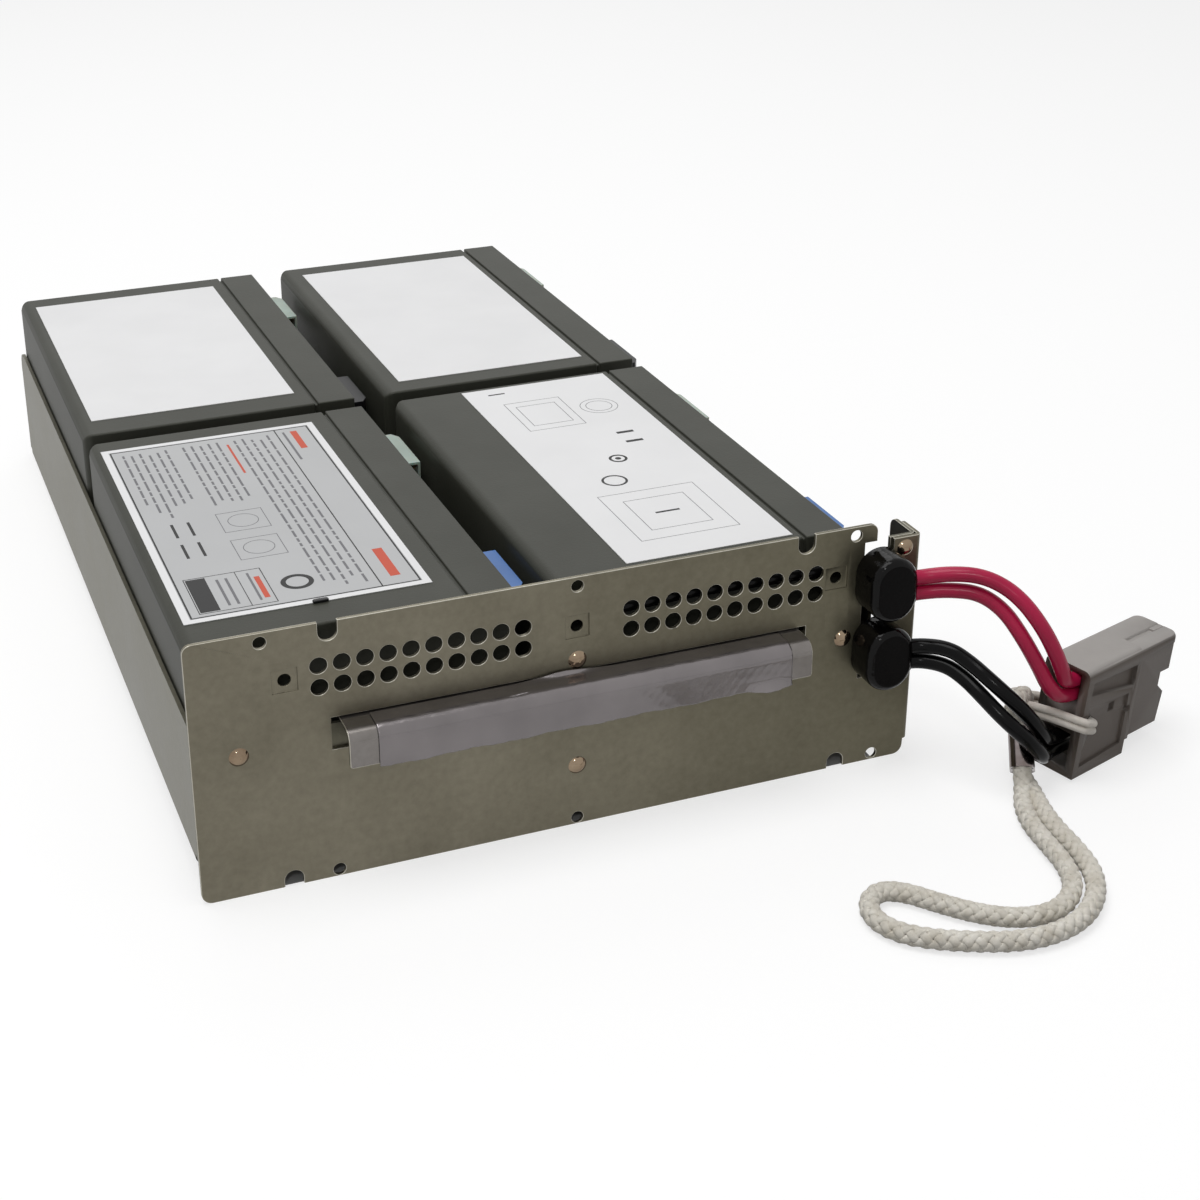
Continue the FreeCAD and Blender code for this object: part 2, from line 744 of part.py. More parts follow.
def drawDomedOutline(sketch, points, radius):
    """An outline whose last side is the arc of a dome."""
    lines = []
    for first, second in zip(points, points[1:]):
        lines.append(sketch.addGeometry(Part.LineSegment(flat(*first), flat(*second)), False))
    for index in range(len(lines)):
        place(sketch, lines[index], 1, *points[index])
        if index > 0:
            sketch.addConstraint(Sketcher.Constraint("Coincident", lines[index - 1], 2, lines[index], 1))
    place(sketch, lines[-1], 2, *points[-1])
    centre = flat(points[0][0] + radius, 0)
    half = math.asin(min(asSize(points[-1][1]).value / radius, 1.0))
    circle = Part.Circle(centre, FreeCAD.Vector(0, 0, 1), radius)
    arc = sketch.addGeometry(Part.ArcOfCircle(circle, math.pi - half, math.pi), False)
    sketch.addConstraint(Sketcher.Constraint("Coincident", arc, 1, lines[-1], 2))
    sketch.addConstraint(Sketcher.Constraint("Coincident", arc, 2, lines[0], 1))
    sketch.addConstraint(Sketcher.Constraint("PointOnObject", arc, 3, -1))


def makeTray():
    """Folded tray: a floor with two tall sides, a front wall and a low rear lip."""
    body = startBody("tray")
    thickness, bend, relief = size("traySheet"), size("trayBend"), size("trayRelief")
    front, back = size("panelSheet"), trayBack
    floor, wallTop, width = size("trayRaise"), size("sideWallTop"), trayWidth
    corners = [(0, wallTop), (0, floor), (width, floor), (width, wallTop)]
    addPad(body, "FloorAndSides", "XZ_Plane", front + relief, back - front - relief * 2,
           lambda sketch: drawFoldedSection(sketch, corners, thickness, [bend, bend]))
    for name, start in (("LeftSide", 0), ("RightSide", width - thickness)):
        addPad(body, name, "YZ_Plane", start, thickness, lambda sketch: drawBox(
            sketch, front, back, floor + relief, wallTop))
    frontCorners = [(front, size("frontWallTop")), (front, floor), (front + relief * 2, floor)]
    rearCorners = [(back - relief * 2, floor), (back, floor), (back, size("rearLipTop"))]
    for name, section in (("FrontWall", frontCorners), ("RearLip", rearCorners)):
        addPad(body, name, "YZ_Plane", relief, width - relief * 2,
               lambda sketch, part=section: drawFoldedSection(sketch, part, thickness, [bend]))
    for name, x in (("LeftCorner", thickness / 2), ("RightCorner", width - thickness / 2)):
        roundEdges(body, name, size("sideWallCorner"), [(x, back, wallTop)])
    addPocket(body, "CableCut", "XZ_Plane", front, size("cableCutDepth"), lambda sketch: drawBox(
        sketch, width - size("cableCutWidth"), width + thickness, size("cableCutFoot"), wallTop + thickness))

    def drawRivetHoles(sketch):
        for x, z in rivetPlaces():
            if z.value < size("frontWallTop").value and x.value < trayWidth.value:
                drawCircle(sketch, x, z, size("rivetShank"))

    addPocket(body, "RivetHoles", "XZ_Plane", front, thickness, drawRivetHoles)
    return body


def makeSideBracket():
    """L bracket behind the strip at the panel's right end."""
    body = startBody("side_bracket")
    thickness = size("panelSheet")
    outer = panelWidth - thickness - size("bracketGap")
    inner, back = panelWidth - size("bracketWidth"), thickness + size("bracketDepth")
    corners = [(inner, thickness), (outer, thickness), (outer, back)]
    top, height = panelHeight - size("bracketDrop"), size("bracketHeight")
    addPad(body, "Section", "XY_Plane", top - height, height,
           lambda sketch: drawFoldedSection(sketch, corners, thickness, [size("panelBend")]))
    addPocket(body, "RivetHole", "XZ_Plane", thickness, thickness, lambda sketch: drawCircle(
        sketch, panelWidth - size("rivetStripInset"), panelHeight - size("rivetStripDrop"), size("rivetShank")))
    side = outer - thickness / 2
    roundEdges(body, "RearCorner", size("bracketCorner"),
               [(side, thickness + size("bracketDepth"), top)])
    return body


def makePullHandle():
    """Handle of formed sheet: a flange behind the panel, a shelf through the slot and a lip."""
    body = startBody("pull_handle")
    thickness, back, tight = size("handleSheet"), size("panelSheet"), size("panelBend")
    corners = [
        (back, handleShelf + size("handleFlangeRise")), (back, handleShelf),
        (-size("handleReach"), handleShelf), (-size("handleReach"), size("handleFoot")),
    ]
    addPad(body, "Section", "YZ_Plane", handleLeft, handleRight - handleLeft,
           lambda sketch: drawFoldedSection(sketch, corners, thickness, [tight, size("handleBend")]))
    lip = -size("handleReach") + thickness / 2
    roundEdges(body, "LipCorners", size("handleCorner"),
               [(handleLeft, lip, size("handleFoot")), (handleRight, lip, size("handleFoot"))])
    addPocket(body, "RivetHole", "XZ_Plane", back, thickness, lambda sketch: drawCircle(
        sketch, panelMiddle, size("rivetUpperHeight"), size("rivetShank")))
    return body


def makeHandleFilm():
    """Clear film laid over the handle's shelf, round its bend and down the lip."""
    body = startBody("handle_film")
    film = size("filmSheet")
    front, top = -size("handleReach") - film, handleShelf + film
    corners = [(-size("filmStart"), top), (front, top), (front, size("handleFoot") - size("filmOverhang"))]
    left, right = handleLeft + size("filmLeftInset"), handleRight - size("filmRightInset")
    addPad(body, "Film", "YZ_Plane", left, right - left, lambda sketch: drawFoldedSection(
        sketch, corners, film, [size("handleBend") + size("handleSheet")]))
    return body


def makeBattery(name, column, row):
    """A sealed block battery on its side: a case, and a lid that faces right."""
    length, thickness = size("batteryLength"), size("batteryThickness")
    caseHeight, groove = size("caseHeight"), size("lidGroove")
    case = startBody("case_" + name, column, row, trayFloor)
    addPad(case, "Block", "XY_Plane", 0, thickness, lambda sketch: drawBox(sketch, 0, caseHeight, 0, length))
    roundEdges(case, "BaseEdges", size("caseCorner"), [
        (0, length / 2, 0), (0, length / 2, thickness), (0, 0, thickness / 2), (0, length, thickness / 2)])

    lid = startBody("lid_" + name, column, row, trayFloor)
    addPad(lid, "Neck", "YZ_Plane", caseHeight, groove, lambda sketch: drawBox(
        sketch, groove, length - groove, groove, thickness - groove))
    addPad(lid, "Cover", "YZ_Plane", caseHeight + groove, size("lidHeight") - groove,
           lambda sketch: drawBox(sketch, 0, length, 0, thickness))
    inset, edge = size("ventStripInset"), size("ventStripEdge")
    addPad(lid, "VentStrip", "YZ_Plane", batteryHeight, size("ventStripRise"),
           lambda sketch: drawBox(sketch, inset, length - inset, edge, thickness - edge * 1.6))


def makeLabel(name, column, row, alias):
    """A flat label on top of a battery, counted from the corner of the battery's case."""
    body = startBody("label_" + name, column + size(alias + "Left"), row + size(alias + "Front"), batteryTop)
    addPad(body, "Sheet", "XY_Plane", 0, size("labelSheet"),
           lambda sketch: drawBox(sketch, 0, size(alias + "Width"), 0, size(alias + "Depth")))


def makeTerminal(name, column, middle):
    """A flat blade terminal that stands out of the lid."""
    body = startBody(name, column + batteryHeight, middle, bladeLevel - size("bladeSheet") / 2)
    half, reach = size("bladeWidth") / 2, size("bladeReach")
    chamfer = size("bladeSheet")
    outline = [
        (0, -half), (reach - chamfer, -half), (reach, chamfer - half),
        (reach, half - chamfer), (reach - chamfer, half), (0, half),
    ]
    addPad(body, "Blade", "XY_Plane", 0, size("bladeSheet"), lambda sketch: drawOutline(sketch, outline))
    addPocket(body, "Bore", "XY_Plane", 0, size("bladeSheet"),
              lambda sketch: drawCircle(sketch, reach * 0.6, 0, size("bladeBore")))


def makeCover(name, column, row, atRear):
    """An insulating cover over a flag receptacle, open at the end where the lead comes out."""
    length, reach, height = size("coverLength"), size("coverReach"), size("coverHeight")
    wall, taper = size("coverWall"), size("coverTaper")
    battery = size("batteryLength")
    start = battery - size("coverInset") - length if atRear else size("coverInset")
    body = startBody(name, column + batteryHeight, row + start, bladeLevel - height / 2)

    def along(distance):
        return distance if atRear else length - distance

    narrow = reach - taper * 0.6
    outline = [(0, along(0)), (reach, along(0)), (reach, along(length - taper)),
               (narrow, along(length)), (0, along(length))]
    inside = [(wall, along(-wall)), (reach - wall, along(-wall)),
              (reach - wall, along(length - taper - wall / 2)),
              (narrow - wall / 2, along(length - wall)), (wall, along(length - wall))]
    addPad(body, "Shell", "XY_Plane", 0, height, lambda sketch: drawOutline(sketch, outline))
    addPocket(body, "Hollow", "XY_Plane", wall, height - wall * 2, lambda sketch: drawOutline(sketch, inside))
    bladeMiddle = length + size("coverInset") - size("bladeInset")
    half = size("bladeWidth") / 2 + wall / 2
    near, far = sorted((along(bladeMiddle - half), along(bladeMiddle + half)), key=lambda edge: edge.value)
    slit = size("bladeSheet") / 2 + wall / 4
    addPocket(body, "BladeSlot", "XY_Plane", height / 2 - slit, slit * 2,
              lambda sketch: drawBox(sketch, -wall, wall * 1.5, near, far))


def makeLeads():
    """Jumpers between the batteries of a column, and leads from the batteries to the boots."""
    level = bladeLevel.value
    left = (leftColumn + batteryHeight + size("coverReach") / 2).value
    right = (rightColumn + batteryHeight + size("coverReach") / 2).value
    half = size("bladeWidth").value / 2
    inset, length = size("bladeInset").value, size("batteryLength").value
    frontStart = frontRow.value + inset + half
    frontEnd = frontRow.value + length - inset - half
    rearStart = rearRow.value + inset + half
    rearEnd = rearRow.value + length - inset - half
    inlet = (bootMiddle - size("inletShift")).value
    front = (frontRow - size("frontGap") / 2).value
    for side, x in (("left", left), ("right", right)):
        addTube("jumper_" + side, [
            (x, frontEnd, level), (x, frontEnd - 30, level), (x, frontEnd - 32, level - 20),
            (x, frontEnd - 8, level - 30), (x, frontEnd + 25, level - 33), (x, rearStart + 8, level - 30),
            (x, rearStart + 32, level - 20), (x, rearStart + 30, level), (x, rearStart, level),
        ], size("leadDiameter").value, size("leadBend").value)
    addTube("sleeved_lead_left", [
        (left, frontStart, level), (left, frontStart + 28, level), (left, frontStart + 29, level - 20),
        (left, frontStart + 6, level - 27), (left, front + 12, level - 24), (left + 0.4, front, level - 14),
        (left + 5, front, size("upperInlet").value), (left + 50, front, size("upperInlet").value + 1.5),
        (inlet, front, size("upperInlet").value), (inlet, 0, size("upperInlet").value),
    ], size("leadDiameter").value, size("leadBend").value)
    addTube("red_lead_right", [
        (right, frontStart, level), (right, frontStart + 28, level), (right, frontStart + 29, level - 18),
        (right + 0.4, frontStart + 8, level - 22), (inlet, front + 7, size("secondInlet").value - 1.2),
        (inlet, front, size("secondInlet").value), (inlet, 0, size("secondInlet").value),
    ], size("leadDiameter").value, size("leadBend").value)
    for name, x in (("black_lead_right", right), ("black_lead_left", left)):
        points = [
            (x, rearEnd, level), (x, rearEnd - 27, level), (x, rearEnd - 33, level - 19),
            (x, rearEnd - 60, level - 36), (x, rearEnd - 105, level - 43), (x, rearEnd - 155, level - 46),
        ]
        if name.endswith("right"):
            points += [
                (x, 90, level - 41), (x + 0.8, 50, level - 31),
                (inlet, 18, size("thirdInlet").value - 1), (inlet, front + 2, size("thirdInlet").value),
                (inlet, 0, size("thirdInlet").value),
            ]
        else:
            points += [
                (x, 90, level - 46.5), (x + 0.2, 50, level - 44), (x + 0.5, 18, level - 41),
                (x + 0.5, front, level - 40), (x + 50, front, level - 38.5), (x + 92, front, level - 31),
                (inlet, front, size("fourthInlet").value), (inlet, 0, size("fourthInlet").value),
            ]
        addTube(name, points, size("leadDiameter").value, size("leadBend").value)


def drawStadium(sketch, x, foot, top, width):
    """An upright slot shape: two round ends joined by straight sides."""
    radius = asSize(width) / 2
    lower, upper = foot + radius, top - radius
    arcs = []
    for middle, start in ((lower, math.pi), (upper, 0)):
        circle = Part.Circle(flat(x, middle), FreeCAD.Vector(0, 0, 1), radius.value)
        arc = sketch.addGeometry(Part.ArcOfCircle(circle, start, start + math.pi), False)
        place(sketch, arc, 3, x, middle)
        setRadius(sketch, arc, radius)
        arcs.append(arc)
    right = sketch.addGeometry(Part.LineSegment(flat(x + radius, lower), flat(x + radius, upper)), False)
    left = sketch.addGeometry(Part.LineSegment(flat(x - radius, upper), flat(x - radius, lower)), False)
    for first, second in ((arcs[0], right), (right, arcs[1]), (arcs[1], left), (left, arcs[0])):
        sketch.addConstraint(Sketcher.Constraint("Tangent", first, 2, second, 1))


def makeBoot(name, middle):
    """A right-angle boot over a pair of cables: an upright barrel with an outlet to the right."""
    body = startBody(name)
    half = size("bootHeight") / 2
    addPad(body, "Barrel", "XZ_Plane", -size("bootReach"), size("bootReach"), lambda sketch: drawStadium(
        sketch, bootMiddle, middle - half, middle + half, size("bootWidth")))
    outletMiddle = middle - size("outletDrop")
    cable = size("cableDiameter")
    addPad(body, "Outlet", "YZ_Plane", bootMiddle, bootOutlet - bootMiddle,
           lambda sketch: drawStadium(sketch, -size("bootOutletReach"), outletMiddle - cable * 1.2,
                                      outletMiddle + cable * 1.2, cable * 1.25))
    rim = bootMiddle + size("bootWidth") / 2
    roundEdges(body, "Rim", size("bootRim"), [(rim, -size("bootReach"), middle)])


def fromRightFoot(points):
    """Points of a route that are counted from the panel's right foot."""
    return [(panelWidth.value + x, y, z) for x, y, z in points]


def makeCables():
    """Two red and two black cables from the boots into the rear of the connector."""
    outlet = bootOutlet.value
    y = -size("bootOutletReach").value
    spread = size("cableDiameter").value * 0.53
    upper = (size("upperBootHeight") - size("outletDrop")).value
    lower = (size("lowerBootHeight") - size("outletDrop")).value
    routes = {
        "red_cable_upper": (upper + spread, [
            (4.1, -10.0, 65.6), (11.4, -14.5, 65.8), (17.2, -19.0, 63.4), (21.3, -24.0, 59.4),
            (25.1, -28.5, 52.9), (28.0, -31.5, 46.2), (30.8, -32.7, 39.0),
        ], (10.3, 32.1)),
        "red_cable_lower": (upper - spread, [
            (4.9, -10.0, 60.1), (12.0, -14.5, 59.8), (17.6, -19.5, 55.5), (20.9, -25.0, 48.8),
            (24.6, -29.0, 40.6), (27.7, -31.6, 33.0),
        ], (10.0, 27.1)),
        "black_cable_upper": (lower + spread, [
            (4.3, -12.5, 41.8), (8.3, -18.5, 39.0), (10.7, -24.5, 36.4), (14.6, -29.5, 32.3),
            (18.8, -32.4, 27.7), (23.4, -33.4, 21.9), (27.3, -32.3, 16.9),
        ], (8.3, 11.9)),
        "black_cable_lower": (lower - spread, [
            (3.7, -12.3, 36.2), (6.7, -18.4, 34.1), (8.7, -25.2, 31.2), (11.5, -31.1, 27.2),
            (15.2, -35.3, 23.2), (19.9, -37.3, 18.5), (25.3, -35.9, 12.4),
        ], (6.8, 6.1)),
    }
    entry, lead = size("contactStart").value, size("cableLead").value
    for name, (level, middle, (nearward, up)) in routes.items():
        route = [(outlet, y, level), (outlet + lead, y, level)] + fromRightFoot(middle)
        route += [tuple(connectorPoint(-lead, nearward, up)), tuple(connectorPoint(entry, nearward, up))]
        addTube(name, route, size("cableDiameter").value)


def startConnectorBody(name):
    """A body in the connector's own frame: X from its rear, Y from its far side, Z up."""
    body = doc.addObject("PartDesign::Body", name)
    body.Label = name
    place = "create(<<vector>>; %s; %s; %s)" % (
        (datumX + panelWidth + size("connectorReach")).text, (datumY - size("connectorFront")).text,
        size("connectorRise").text)
    turn = "create(<<rotation>>; Sizes.connectorYaw; Sizes.connectorDip; Sizes.connectorLean)"
    body.setExpression("Placement", "create(<<placement>>; %s; %s)" % (place, turn))
    return body


def makeConnector():
    """Two pole connector that stands on its narrow side: a thick rear and a stepped nose."""
    body = startConnectorBody("connector_housing")
    length, thickness, height = size("connectorLength"), size("connectorThickness"), size("connectorHeight")
    rear, throat, lowerEnd = size("rearBodyLength"), size("noseThroat"), size("lowerNoseEnd")
    outline = [
        (0, 0), (rear, 0), (rear, size("noseFoot")), (lowerEnd - size("lowerNoseSlope"), size("noseFoot")),
        (lowerEnd, size("lowerNoseTop")), (throat, size("lowerNoseTop") + size("throatChamfer")),
        (throat, size("upperNoseFoot")), (length, size("upperNoseFoot")), (length, height), (0, height),
    ]
    addPad(body, "SideForm", "XZ_Plane", -thickness, thickness, lambda sketch: drawOutline(sketch, outline))
    step = size("noseStep")
    addPocket(body, "CordHole", "XZ_Plane", -thickness - step, thickness + step * 2, lambda sketch: drawStadium(
        sketch, size("cordHoleStart") + size("cordHoleWidth") / 2, size("cordHoleFoot"),
        size("cordHoleTop"), size("cordHoleWidth")))
    noseMiddle, topMiddle = (size("upperNoseFoot") + height) / 2, (length - size("noseRound")) / 2
    roundEdges(body, "NoseCorners", size("noseRound"),
               [(length, -thickness, noseMiddle), (length, 0, noseMiddle)])
    roundEdges(body, "TopEdges", size("topRound"), [(topMiddle, -thickness, height), (topMiddle, 0, height)])
    addPocket(body, "TopStep", "XY_Plane", height - size("topStep"), size("topStep"), lambda sketch: drawBox(
        sketch, rear + size("collarReach"), length + thickness, -thickness * 2, thickness))
    farNose = -size("noseStep") / 2
    for name, start, depth in (("NearStep", -thickness, size("noseStep")), ("FarStep", farNose, -farNose)):
        addPocket(body, name, "XZ_Plane", start, depth, lambda sketch: drawBox(
            sketch, rear + size("noseStepStart"), length + thickness, 0, height - size("topRidge")))
    edge = size("cavityFarWall")
    for name, foot, top in (("UpperCavity", size("upperCavityFoot"), size("upperCavityTop")),
                            ("LowerCavity", size("lowerCavityFoot"), size("lowerCavityTop"))):
        addPocket(body, name, "YZ_Plane", 0, size("cavityDepth"), lambda sketch, low=foot, high=top: drawBox(
            sketch, -edge - size("cavityWidth"), -edge, low, high))
    far = size("socketFarWall")
    for name, foot, end in (("UpperSocket", size("upperSocketFoot"), length),
                            ("LowerSocket", size("lowerSocketFoot"), size("lowerNoseEnd"))):
        addPocket(body, name, "YZ_Plane", end - size("socketDepth"), size("socketDepth"),
                  lambda sketch, low=foot: drawBox(sketch, -far - size("socketWidth"), -far, low,
                                                   low + size("socketHeight")))
        slim = size("contactSheet") / 2 + size("contactClearance")
        middle = far + size("socketWidth") / 2
        gap = (size("socketHeight") - size("contactWidth")) / 2 - size("contactClearance")
        addPocket(body, name + "Passage", "YZ_Plane", size("cavityDepth") - 1, length / 3,
                  lambda sketch, low=foot, rise=gap: drawBox(sketch, -middle - slim, slim - middle, low + rise,
                                                             low + size("socketHeight") - rise))
    grooveNear = size("topGrooveFarWall") + size("topGrooveWidth")
    addPocket(body, "TopGroove", "XY_Plane", height - size("topGrooveDepth"), size("topGrooveDepth"),
              lambda sketch: drawBox(sketch, size("topGrooveStart"), length + thickness, -grooveNear,
                                     -size("topGrooveFarWall")))
    band, foot = size("rearBand"), size("recessFoot")
    top, rise = size("recessTop"), size("recessRise")
    addPocket(body, "NearRecess", "XZ_Plane", -thickness, size("recessDepth"), lambda sketch: drawOutline(
        sketch, [(band, foot + rise), (rear - band / 4, foot), (rear - band / 4, top - rise / 4), (band, top)]))
    addPocket(body, "PanelRecess", "XZ_Plane", -thickness, size("panelRecessDepth"), lambda sketch: drawOutline(
        sketch, [(band, size("panelRecessFoot")), (rear - band, size("panelRecessFoot") + band / 2),
                 (rear - band, size("panelRecessTop")), (band, size("panelRecessTop") + rise / 2)]))
    squareLeft, squareFoot, square = size("squareDentStart"), size("squareDentFoot"), size("squareDent")
    addPocket(body, "SquareDent", "XZ_Plane", -thickness, size("recessDepth") * 2, lambda sketch: drawBox(
        sketch, squareLeft, squareLeft + square, squareFoot, squareFoot + square))
    addPocket(body, "RoundDent", "XZ_Plane", -thickness, size("recessDepth") * 2, lambda sketch: drawCircle(
        sketch, size("roundDentPlace"), size("roundDentHeight"), size("roundDent")))
    return body


def makeContacts():
    """The two contacts inside the connector: a crimped rear block and a flat blade."""
    clearance, edge = size("contactClearance"), size("cavityFarWall")
    middle = size("socketFarWall") + size("socketWidth") / 2
    poles = (("upper_contact", "upperCavityFoot", "upperCavityTop", "upperSocketFoot"),
             ("lower_contact", "lowerCavityFoot", "lowerCavityTop", "lowerSocketFoot"))
    for name, foot, top, socket in poles:
        body = startConnectorBody(name)
        addPad(body, "Crimp", "YZ_Plane", size("contactStart"), size("contactStart") * 1.8,
               lambda sketch, low=size(foot), high=size(top): drawBox(
                   sketch, -edge - size("cavityWidth") + clearance, -edge - clearance,
                   low + clearance, high - clearance))
        half, slim = size("contactWidth") / 2, size("contactSheet") / 2
        centre = size(socket) + size("socketHeight") / 2
        start = size("contactStart") * 2
        addPad(body, "Blade", "YZ_Plane", start, size("contactReach") - start,
               lambda sketch, level=centre: drawBox(sketch, -middle - slim, slim - middle, level - half,
                                                    level + half))


def connectorPoint(along, nearward, up):
    """A point given in the connector's own frame, counted from its rear, far side and foot."""
    turn = FreeCAD.Rotation(size("connectorYaw").value, size("connectorDip").value, size("connectorLean").value)
    corner = FreeCAD.Vector((panelWidth + size("connectorReach")).value, -size("connectorFront").value,
                            size("connectorRise").value)
    return corner + turn.multVec(FreeCAD.Vector(along, -nearward, up))


def makeTieCord():
    """Thin cord with two turns through the rope's eye and the hole in the connector."""
    hole = size("cordHoleStart").value + size("cordHoleWidth").value / 2
    turns = [(3.4, -5.6, 19.2)]
    for level in (18.75, 16.3):
        turns += [
            (1.3, -8.5, level + 0.7), (-2.9, -8.9, level + 0.9), (-6.2, -5.6, level + 1.1),
            (-5.4, 8.0, level + 3.7), (-1.3, 17.6, level + 2.6), (1.2, 17.4, level + 1.5), (hole, 17.6, level),
            (hole, -1.9, level), (hole - 2, -5.1, level + 0.2),
        ]
    addTube("tie_cord", [tuple(connectorPoint(*turn)) for turn in turns], size("tieCordDiameter").value)


sleeveFoot = FreeCAD.Vector(panelWidth.value + 21.4, -31.0, 6.1)
sleeveHead = FreeCAD.Vector(panelWidth.value + 24.7, -23.5, 15.2)
strandShift = FreeCAD.Vector(1.43, 1.80, -2.0)


def makePullRope():
    """Braided rope in a flat doubled loop on the floor, with a small eye above its sleeve."""
    lying = size("ropeDiameter").value / 2 + 0.1
    middle = (sleeveFoot + sleeveHead) * 0.5 - strandShift
    along = sleeveHead - sleeveFoot
    along.normalize()
    mouth = along * size("sleeveMouth").value
    route = [tuple(middle - along * 0.4), tuple(sleeveFoot - strandShift - mouth)]
    route += fromRightFoot([
        (17.4, -38.0, 3.6), (13.6, -43.5, lying), (9.9, -53.0, lying), (8.7, -64.0, lying),
        (7.4, -75.0, lying), (3.6, -84.2, lying), (-3.7, -90.6, lying), (-12.7, -92.4, lying),
        (-21.2, -90.0, lying), (-28.6, -84.6, lying), (-35.4, -77.0, lying), (-41.0, -69.6, lying),
        (-47.4, -66.0, lying), (-53.4, -69.6, lying), (-55.6, -76.8, lying), (-52.8, -84.4, lying),
        (-45.6, -90.6, lying), (-35.8, -95.6, lying), (-25.0, -99.8, lying), (-13.4, -100.6, lying),
        (-2.2, -97.4, lying), (7.0, -90.0, lying), (12.8, -80.2, lying), (14.9, -68.8, lying),
        (15.6, -57.4, lying), (17.6, -47.0, lying), (20.6, -37.6, lying),
    ])
    route += [
        tuple(sleeveFoot + strandShift - mouth), tuple(sleeveHead + strandShift + mouth),
        tuple(connectorPoint(-1.5, -4.0, 17.0)), tuple(connectorPoint(-1.2, -4.2, 24.2)),
        tuple(connectorPoint(-11.8, -1.0, 24.6)), tuple(connectorPoint(-12.1, -0.6, 19.8)),
        tuple(sleeveHead - strandShift + mouth), tuple(middle + along * 0.4),
    ]
    addTube("pull_rope", route, size("ropeDiameter").value)


def makeCrimpSleeve():
    """Oval metal sleeve pressed round the two strands of the rope, with flared mouths."""
    along = sleeveHead - sleeveFoot
    across = FreeCAD.Vector(strandShift).normalize()
    square = along.cross(across).normalize()
    bore = size("ropeDiameter").value / 2
    outer = bore + size("sleeveWall").value
    ends = [sleeveFoot + strandShift, sleeveFoot - strandShift]
    right = Part.Arc(ends[0] + square * outer, ends[0] + across * outer, ends[0] - square * outer)
    left = Part.Arc(ends[1] - square * outer, ends[1] - across * outer, ends[1] + square * outer)
    sides = [Part.LineSegment(ends[0] - square * outer, ends[1] - square * outer),
             Part.LineSegment(ends[1] + square * outer, ends[0] + square * outer)]
    outline = Part.Wire([right.toShape(), sides[0].toShape(), left.toShape(), sides[1].toShape()])
    shape = Part.Face(outline).extrude(along)
    mouth, flare = size("sleeveMouth").value, size("sleeveWall").value / 2
    for end in ends:
        shape = shape.cut(Part.makeCylinder(bore, along.Length + 2, end - along * 0.05, along))
        shape = shape.cut(Part.makeCone(bore + flare, bore, mouth, end, along))
        shape = shape.cut(Part.makeCone(bore + flare, bore, mouth, end + along, along * -1))
    addShape("crimp_sleeve", shape)


makeTray()
makeFrontPanel()
makeSideBracket()
makePullHandle()
makeHandleFilm()
makeRivets()

columns = {"left": leftColumn, "right": rightColumn}
rows = {"front": frontRow, "rear": rearRow}
for rowName, row in rows.items():
    for columnName, column in columns.items():
        makeBattery(rowName + "_" + columnName, column, row)
        inset = size("bladeInset")
        for endName, middle in (("front", inset), ("rear", size("batteryLength") - inset)):
            makeTerminal("terminal_%s_%s_%s" % (rowName, columnName, endName), column, row + middle)
        makeCover("pale_cover_%s_%s" % (rowName, columnName), column, row, True)
for columnName, column in columns.items():
    makeCover("blue_cover_" + columnName, column, frontRow, False)
    makeCover("black_cover_" + columnName, column, rearRow, False)

for name, column, row in (("rear_left", leftColumn, rearRow), ("rear_right", rightColumn, rearRow),
                          ("front_left", leftColumn, frontRow), ("front_right", rightColumn, frontRow)):
    first, second = name.split("_")
    makeLabel(name, column, row, first + second.capitalize() + "Label")

makeLeads()
makeBoot("upper_boot", size("upperBootHeight"))
makeBoot("lower_boot", size("lowerBootHeight"))
makeCables()
makeConnector()
makeContacts()
makeTieCord()
makePullRope()
makeCrimpSleeve()

doc.recompute()

for thing in doc.Objects:
    if {"Invalid", "Error"} & set(thing.State):
        raise RuntimeError("%s did not build" % thing.Name)
    if thing.TypeId in ("PartDesign::Pocket", "PartDesign::LinearPattern"):
        if thing.Shape.Volume >= thing.BaseFeature.Shape.Volume - 0.001:
            raise RuntimeError("%s in %s cuts nothing" % (thing.Name, thing.BaseFeature.Name))

subParts = [thing for thing in doc.Objects
            if thing.TypeId in ("PartDesign::Body", "Part::Feature", "Part::Compound")
            and not thing.Name.startswith("rivet_")]
os.makedirs("parts", exist_ok=True)
for thing in subParts:
    if thing.Shape.isNull() or not thing.Shape.isValid():
        raise RuntimeError("%s has no valid shape" % thing.Label)
for thing in subParts:
    thing.Shape.exportStep("parts/%s.step" % thing.Label)
print("%d sub-parts" % len(subParts))
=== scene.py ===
import math

import bmesh
import bpy
import numpy as np
from mathutils import Matrix, Vector


